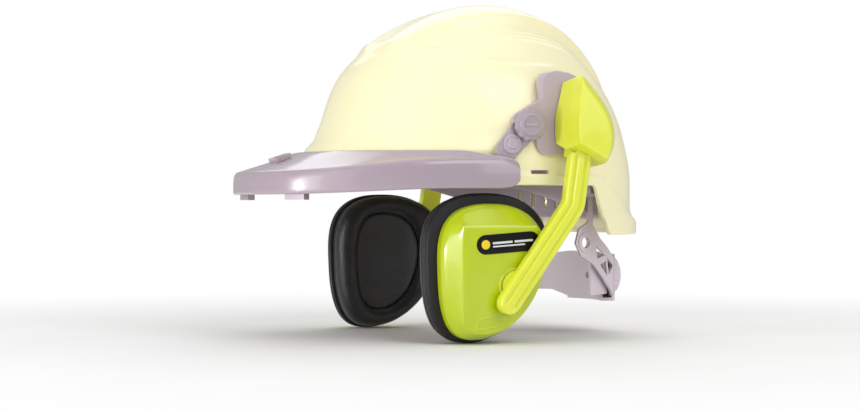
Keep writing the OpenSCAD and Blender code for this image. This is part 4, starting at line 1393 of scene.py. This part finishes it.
def key_z(angle):
    """Height at which a strap is keyed to the headband."""
    return band_low(MID_Y + band_radius(angle) * sin(angle)) + 10.5


def build_headband():
    """Band with rolled edges, slots cut through it and lugs reaching to the straps."""
    profile = [     # outwards from the inner face, up from the lower edge
        (0, 0.5), (0.15, 0.12), (0.6, 0.0), (1.2, 0.0), (1.75, 0.12), (2.0, 0.5), (2.0, 2.2),
        (1.7, 3.0), (1.7, 22.0), (2.0, 22.8), (2.0, 24.5), (1.75, 24.9), (1.2, 25), (0.6, 25),
        (0.15, 24.9), (0, 24.5), (0, 22.8), (0.25, 22.0), (0.25, 3.0), (0, 2.2)]
    steps = 360
    sections = []
    for angle in [360 * i / steps for i in range(steps)]:
        radius = band_radius(angle)
        low = band_low(MID_Y + radius * sin(angle))
        sections.append([radial(angle, radius - BAND_THICKNESS + out, low + up)
                         for out, up in profile])
    ob = solid("headband_skin", loft(sections, close_v=True), "helmet", "harness_mauve",
               "headband")
    slots = []
    for angle in [*range(46, 84, 7), *range(97, 136, 7), -64, -116, 4, 176, -10, 190]:
        radius = band_radius(angle)
        low = band_low(MID_Y + radius * sin(angle))
        slots.append(radial_box(angle, (radius - 4, radius + 2), (-1.6, 1.6),
                                (low + 7, low + 17)))
    combine(ob, [joined(slots)])
    lugs = []
    for angle in (-90, -32, 32, 90, 148, 212):
        low = key_z(angle) - 2.6
        lugs.append(radial_box(angle, (band_radius(angle) - 0.6, plan_radius(angle) - 5),
                               (-4.5, 4.5), (low, low + 2.4), outer_scale=0.8))
    combine(ob, lugs, "UNION")
    shade(ob, 40)


def build_sweatband():
    """Padded brow strip: crowned, with two rows of stitching and slow waves."""
    stations, rows = 220, 26
    low, height = 1.6, 20.4         # above the headband's lower edge
    sections = []
    for i in range(stations + 1):
        angle = -155 + 130 * i / stations
        radius = band_radius(angle) - 2.35
        band_z = band_low(MID_Y + (radius + 0.3) * sin(angle))
        # full thickness, thinned to rounded ends
        end = min(1.0, min(i, stations - i) / 9.0)
        end = math.sqrt(max(0.02, 1 - (1 - end) ** 2))
        section = []
        for share in [k / (rows - 1) for k in range(rows)]:
            crown = (1 - abs(2 * share - 1) ** 3.2) ** 0.5
            thickness = 0.35 + 3.9 * crown * end
            for seam in (0.18, 0.82):
                thickness -= bell(share - seam, 0.022) * (0.75 + 0.25 * math.sin(i * 0.9))
            thickness += 0.18 * math.sin(0.23 * i + 7 * share)
            z = low + height * (0.5 + (share - 0.5) * (0.94 + 0.06 * end))
            section.append(radial(angle, radius - max(0.3, thickness), band_z + z))
        for share in (1.0, 0.66, 0.33, 0.0):
            section.append(radial(angle, radius, band_z + low + height * share))
        sections.append(section)
    solid("sweat_strip", loft(sections), "helmet", "sweat_pad", "sweatband")


def strap_place(angle, share, extra):
    """Radius and height of a strap; share runs from 0 at its anchor to 1 at the crossing."""
    power = 2 / dome_power(angle)
    radius = (plan_radius(angle) - STRAP_INSET) * max(0, cos(90 * share)) ** power
    low = key_z(angle) + 3.4
    return radius, low + (118 + extra - low) * max(0, sin(90 * share)) ** power


def build_straps():
    """Three woven straps crossing under the dome, with thick selvedges."""
    # across the strap, out of it: the top face one way, the underside back
    profile = [
        (-7, 0.35), (-6.9, 0.85), (-6.5, 1.08), (-6.0, 1.0), (-5.6, 0.84), (-3, 0.84),
        (0, 0.86), (3, 0.84), (5.6, 0.84), (6.0, 1.0), (6.5, 1.08), (6.9, 0.85), (7, 0.35),
        (6.9, 0.06), (6.3, 0.0), (5.6, 0.1), (0, 0.12), (-5.6, 0.1), (-6.3, 0.0), (-6.9, 0.06)]
    half = 80       # stations from an anchor to the crossing
    parts = []
    for angle, extra in STRAPS:
        sections = []
        for i in range(2 * half + 1):
            down = abs(i - half) / half
            first_half = i < half
            direction = 1 if first_half else -1
            radius, z = strap_place(angle if first_half else angle + 180, 1 - down, extra)
            sections.append([radial(angle, direction * (radius + out * down),
                                    z + out * (1 - down * 0.6), across)
                             for across, out in profile])
        parts.append(loft(sections))
    solid("cradle_webbing", joined(parts), "helmet", "webbing", "cradle_straps")


def build_stitching():
    """Two rows of nine short thread bars near each strap end."""
    bars = []
    for angle, extra in STRAPS:
        for end in (angle, angle + 180):
            for row in range(2):
                radius, z = strap_place(end, 0.055 + 0.11 * row, extra)
                radius += 1.12
                for column in range(9):
                    across = -5 + 1.25 * column
                    bars.append(radial_box(end, (radius - 0.1, radius + 0.22),
                                           (across - 0.4, across + 0.4), (z - 0.22, z + 0.22)))
    solid("cradle_stitching", joined(bars), "helmet", "webbing",
          material=MATERIALS["pinion_nylon"], smooth=False)


# ------------------------------------------------------------ CAD pieces that stay
# Edge bevels that differ from the usual width
CAD_BEVEL = 0.25
CAD_BEVELS = {
    "strap_keys": 0.5, "side_adapter_left": 0.9, "side_adapter_right": 0.9,
    "ratchet_housing": 0.5, "ratchet_cover": 0.8, "guard_link_left": 0.7,
    "guard_link_right": 0.7, "nape_yoke_left": 0.55, "nape_yoke_right": 0.55}


def finish_cad_pieces():
    """Gives every CAD piece still shown its material and softened edges."""
    shown = {ob.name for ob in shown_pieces()}
    for name, ob in cad_nodes.items():
        if ob.name not in shown:
            continue
        slot = slot_of[name]
        material = MATERIALS[slot]
        if name.startswith(("cup_slider", "swivel_block")):
            material = MATERIALS["lime_arm"]
        # nape pieces take the lightened copy of the harness plastic, painted light
        if name.startswith(("nape_", "ratchet_")) and slot == "harness_mauve":
            material = NAPE_LIT_MAUVE
        ob.data.materials.clear()
        ob.data.materials.append(material)
        bevel(ob, CAD_BEVELS.get(name, CAD_BEVEL), segments=3, angle=40)
        add_modifier(ob, "WEIGHTED_NORMAL", keep_sharp=True)


# ------------------------------------------------------------ stage, camera and light (metres)
VIEW_ANGLE = 67             # the camera's direction, from the front towards the left
CAMERA_DISTANCE = 1.40
CAMERA_SHIFT = -0.02536232  # sideways, so that the shell's axis stands right of the middle
LENS = 80.87442             # mm, on a 36 mm sensor
TO_CAMERA = Vector((sin(VIEW_ANGLE), -cos(VIEW_ANGLE), 0))
VIEW_RIGHT = Vector((cos(VIEW_ANGLE), sin(VIEW_ANGLE), 0))
AIM = (0, -0.01, 0.03)

# name, towards the camera, to its right, up, size, power in watts
LIGHTS = [
    ("key", 1.1, 0.75, 1.0, (0.9, 0.9), 7.6),
    ("fill", 1.2, -1.0, 0.45, (1.2, 1.2), 3.6),
    ("top", 0, 0, 1.7, (1.6, 1.6), 7),
    ("back", -1.2, 0, 1.1, (1.4, 1.0), 6),
    ("low_front", 0.9, -1.1, 0.10, (0.5, 0.5), 2.0)]

GLINT_Z = 15.5              # mm, height of the mirrored spot on the guard
GLINT_SLOPE = -0.06832298   # its sideways offset over its depth, seen from the camera
GLINT_DISTANCE = 0.9


def floor_material():
    """Pale paper that fades to white with distance, for the camera only."""
    material, tree, shader = new_material("floor_paper")
    coords = object_coords(tree)
    mottle = noise(tree, coords, scale=6, detail=3)
    set_inputs(tree, shader, {
        "Base Color": ramp(tree, mottle, (0.3, (0.90, 0.90, 0.90)), (0.7, (0.93, 0.93, 0.93))),
        "Roughness": 0.95,
        "Specular IOR Level": 0.1})
    white = add_node(tree, "Emission", {0: (1, 1, 1)}).outputs[0]
    distance = add_node(tree, "VectorMath", {0: coords}, operation="LENGTH").outputs["Value"]
    fade = add_node(tree, "MapRange", {"From Min": 0.22, "From Max": 0.75, "Value": distance},
                    interpolation_type="SMOOTHSTEP").outputs[0]
    seen = add_node(tree, "LightPath").outputs["Is Camera Ray"]
    blend = add_node(tree, "MixShader", {
        0: calc(tree, "MULTIPLY", fade, seen), 1: shader.outputs[0], 2: white})
    tree.links.new(blend.outputs[0], tree.nodes["Material Output"].inputs[0])
    return material


def add_floor():
    radius, steps = 6.0, 64
    z = cad_box[0][2] - 0.0005
    turns = [2 * math.pi * k / steps for k in range(steps)]
    points = [(0, 0, z)] + [(radius * math.cos(t), radius * math.sin(t), z) for t in turns]
    faces = [(0, 1 + k, 1 + (k + 1) % steps) for k in range(steps)]
    data = bpy.data.meshes.new("floor")
    data.from_pydata(points, [], faces)
    ob = link_object("floor", data)
    data.materials.append(floor_material())
    ob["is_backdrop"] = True


def add_camera():
    data = bpy.data.cameras.new("camera")
    data.sensor_width = 36
    data.lens = LENS
    data.clip_start = 0.01
    data.clip_end = 50
    camera = link_object("camera", data)
    camera.location = TO_CAMERA * CAMERA_DISTANCE + VIEW_RIGHT * CAMERA_SHIFT
    camera.rotation_euler = (-TO_CAMERA).to_track_quat("-Z", "Y").to_euler()
    bpy.context.scene.camera = camera
    return camera


def add_area_light(name, place, aim, size, power):
    data = bpy.data.lights.new(name, "AREA")
    data.shape = "RECTANGLE"
    data.size, data.size_y = size
    data.energy = power
    light = link_object(name, data)
    light.location = place
    light.rotation_euler = (Vector(aim) - Vector(place)).to_track_quat("-Z", "Y").to_euler()


def add_glint(camera):
    """Small softbox placed where the guard's front corner mirrors it to the camera."""
    def spot_at(angle):
        return Vector((*guard_outer(angle, 0), GLINT_Z)) * MM

    def slope_error(tenths):
        offset = spot_at(tenths / 10) - camera.location
        return abs(offset.dot(VIEW_RIGHT) / offset.dot(-TO_CAMERA) - GLINT_SLOPE)

    angle = min(range(-900, 0), key=slope_error) / 10
    spot = spot_at(angle)
    before, after = guard_outer(angle - 0.3, 0), guard_outer(angle + 0.3, 0)
    along = Vector((after[0] - before[0], after[1] - before[1], 0)).normalized()
    normal = Vector((along[1], -along[0], 0))
    to_eye = (camera.location - spot).normalized()
    mirrored = 2 * normal.dot(to_eye) * normal - to_eye
    add_area_light("glint", spot + mirrored * GLINT_DISTANCE, spot, size=(0.085, 0.085),
                   power=2.6)


def add_lights(camera):
    for name, toward, right, up, size, power in LIGHTS:
        place = TO_CAMERA * toward + VIEW_RIGHT * right + Vector((0, 0, up))
        add_area_light(name, place, AIM, size, power)
    # soft panel mirrored by the caps' outer faces and the upper arms
    add_area_light("side_sheen", (1.23, 0.52, 0.29), (0.135, 0.045, 0.05), size=(0.45, 0.42),
                   power=1.1)
    add_glint(camera)


def set_world():
    """White world, full strength to the camera and dimmer as a light."""
    lighting = 0.44
    world = bpy.data.worlds.new("studio")
    bpy.context.scene.world = world
    world.use_nodes = True
    tree = world.node_tree
    seen = add_node(tree, "LightPath").outputs["Is Camera Ray"]
    strength = calc(tree, "MULTIPLY_ADD", seen, 1 - lighting, lighting)
    set_inputs(tree, tree.nodes["Background"], {0: (1, 1, 1), 1: strength})


# ------------------------------------------------------------ build
build_shell()
build_guard()
for side in SIGN:
    for build in (build_cup, build_foot_line, build_label, build_plate, build_cushion,
                  build_insert, build_arm, build_cap, build_spring, build_tilt_knob,
                  build_link_rivet):
        build(side)
build_headband()
build_sweatband()
build_straps()
build_stitching()
build_size_knob()

for ob in [o for o in bpy.data.objects if o.type == "MESH" and "ride_body" in o]:
    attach(ob, ob["ride_body"])
finish_cad_pieces()

add_floor()
add_lights(add_camera())
set_world()
view = bpy.context.scene.view_settings
view.view_transform = "Standard"
view.look = "None"
view.exposure = 0.0

visual_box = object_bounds()
({name: [list(map(float, corner)) for corner in (bounds[0], bounds[1])]
           for name, bounds in (("cad", cad_box), ("visual", visual_box))})
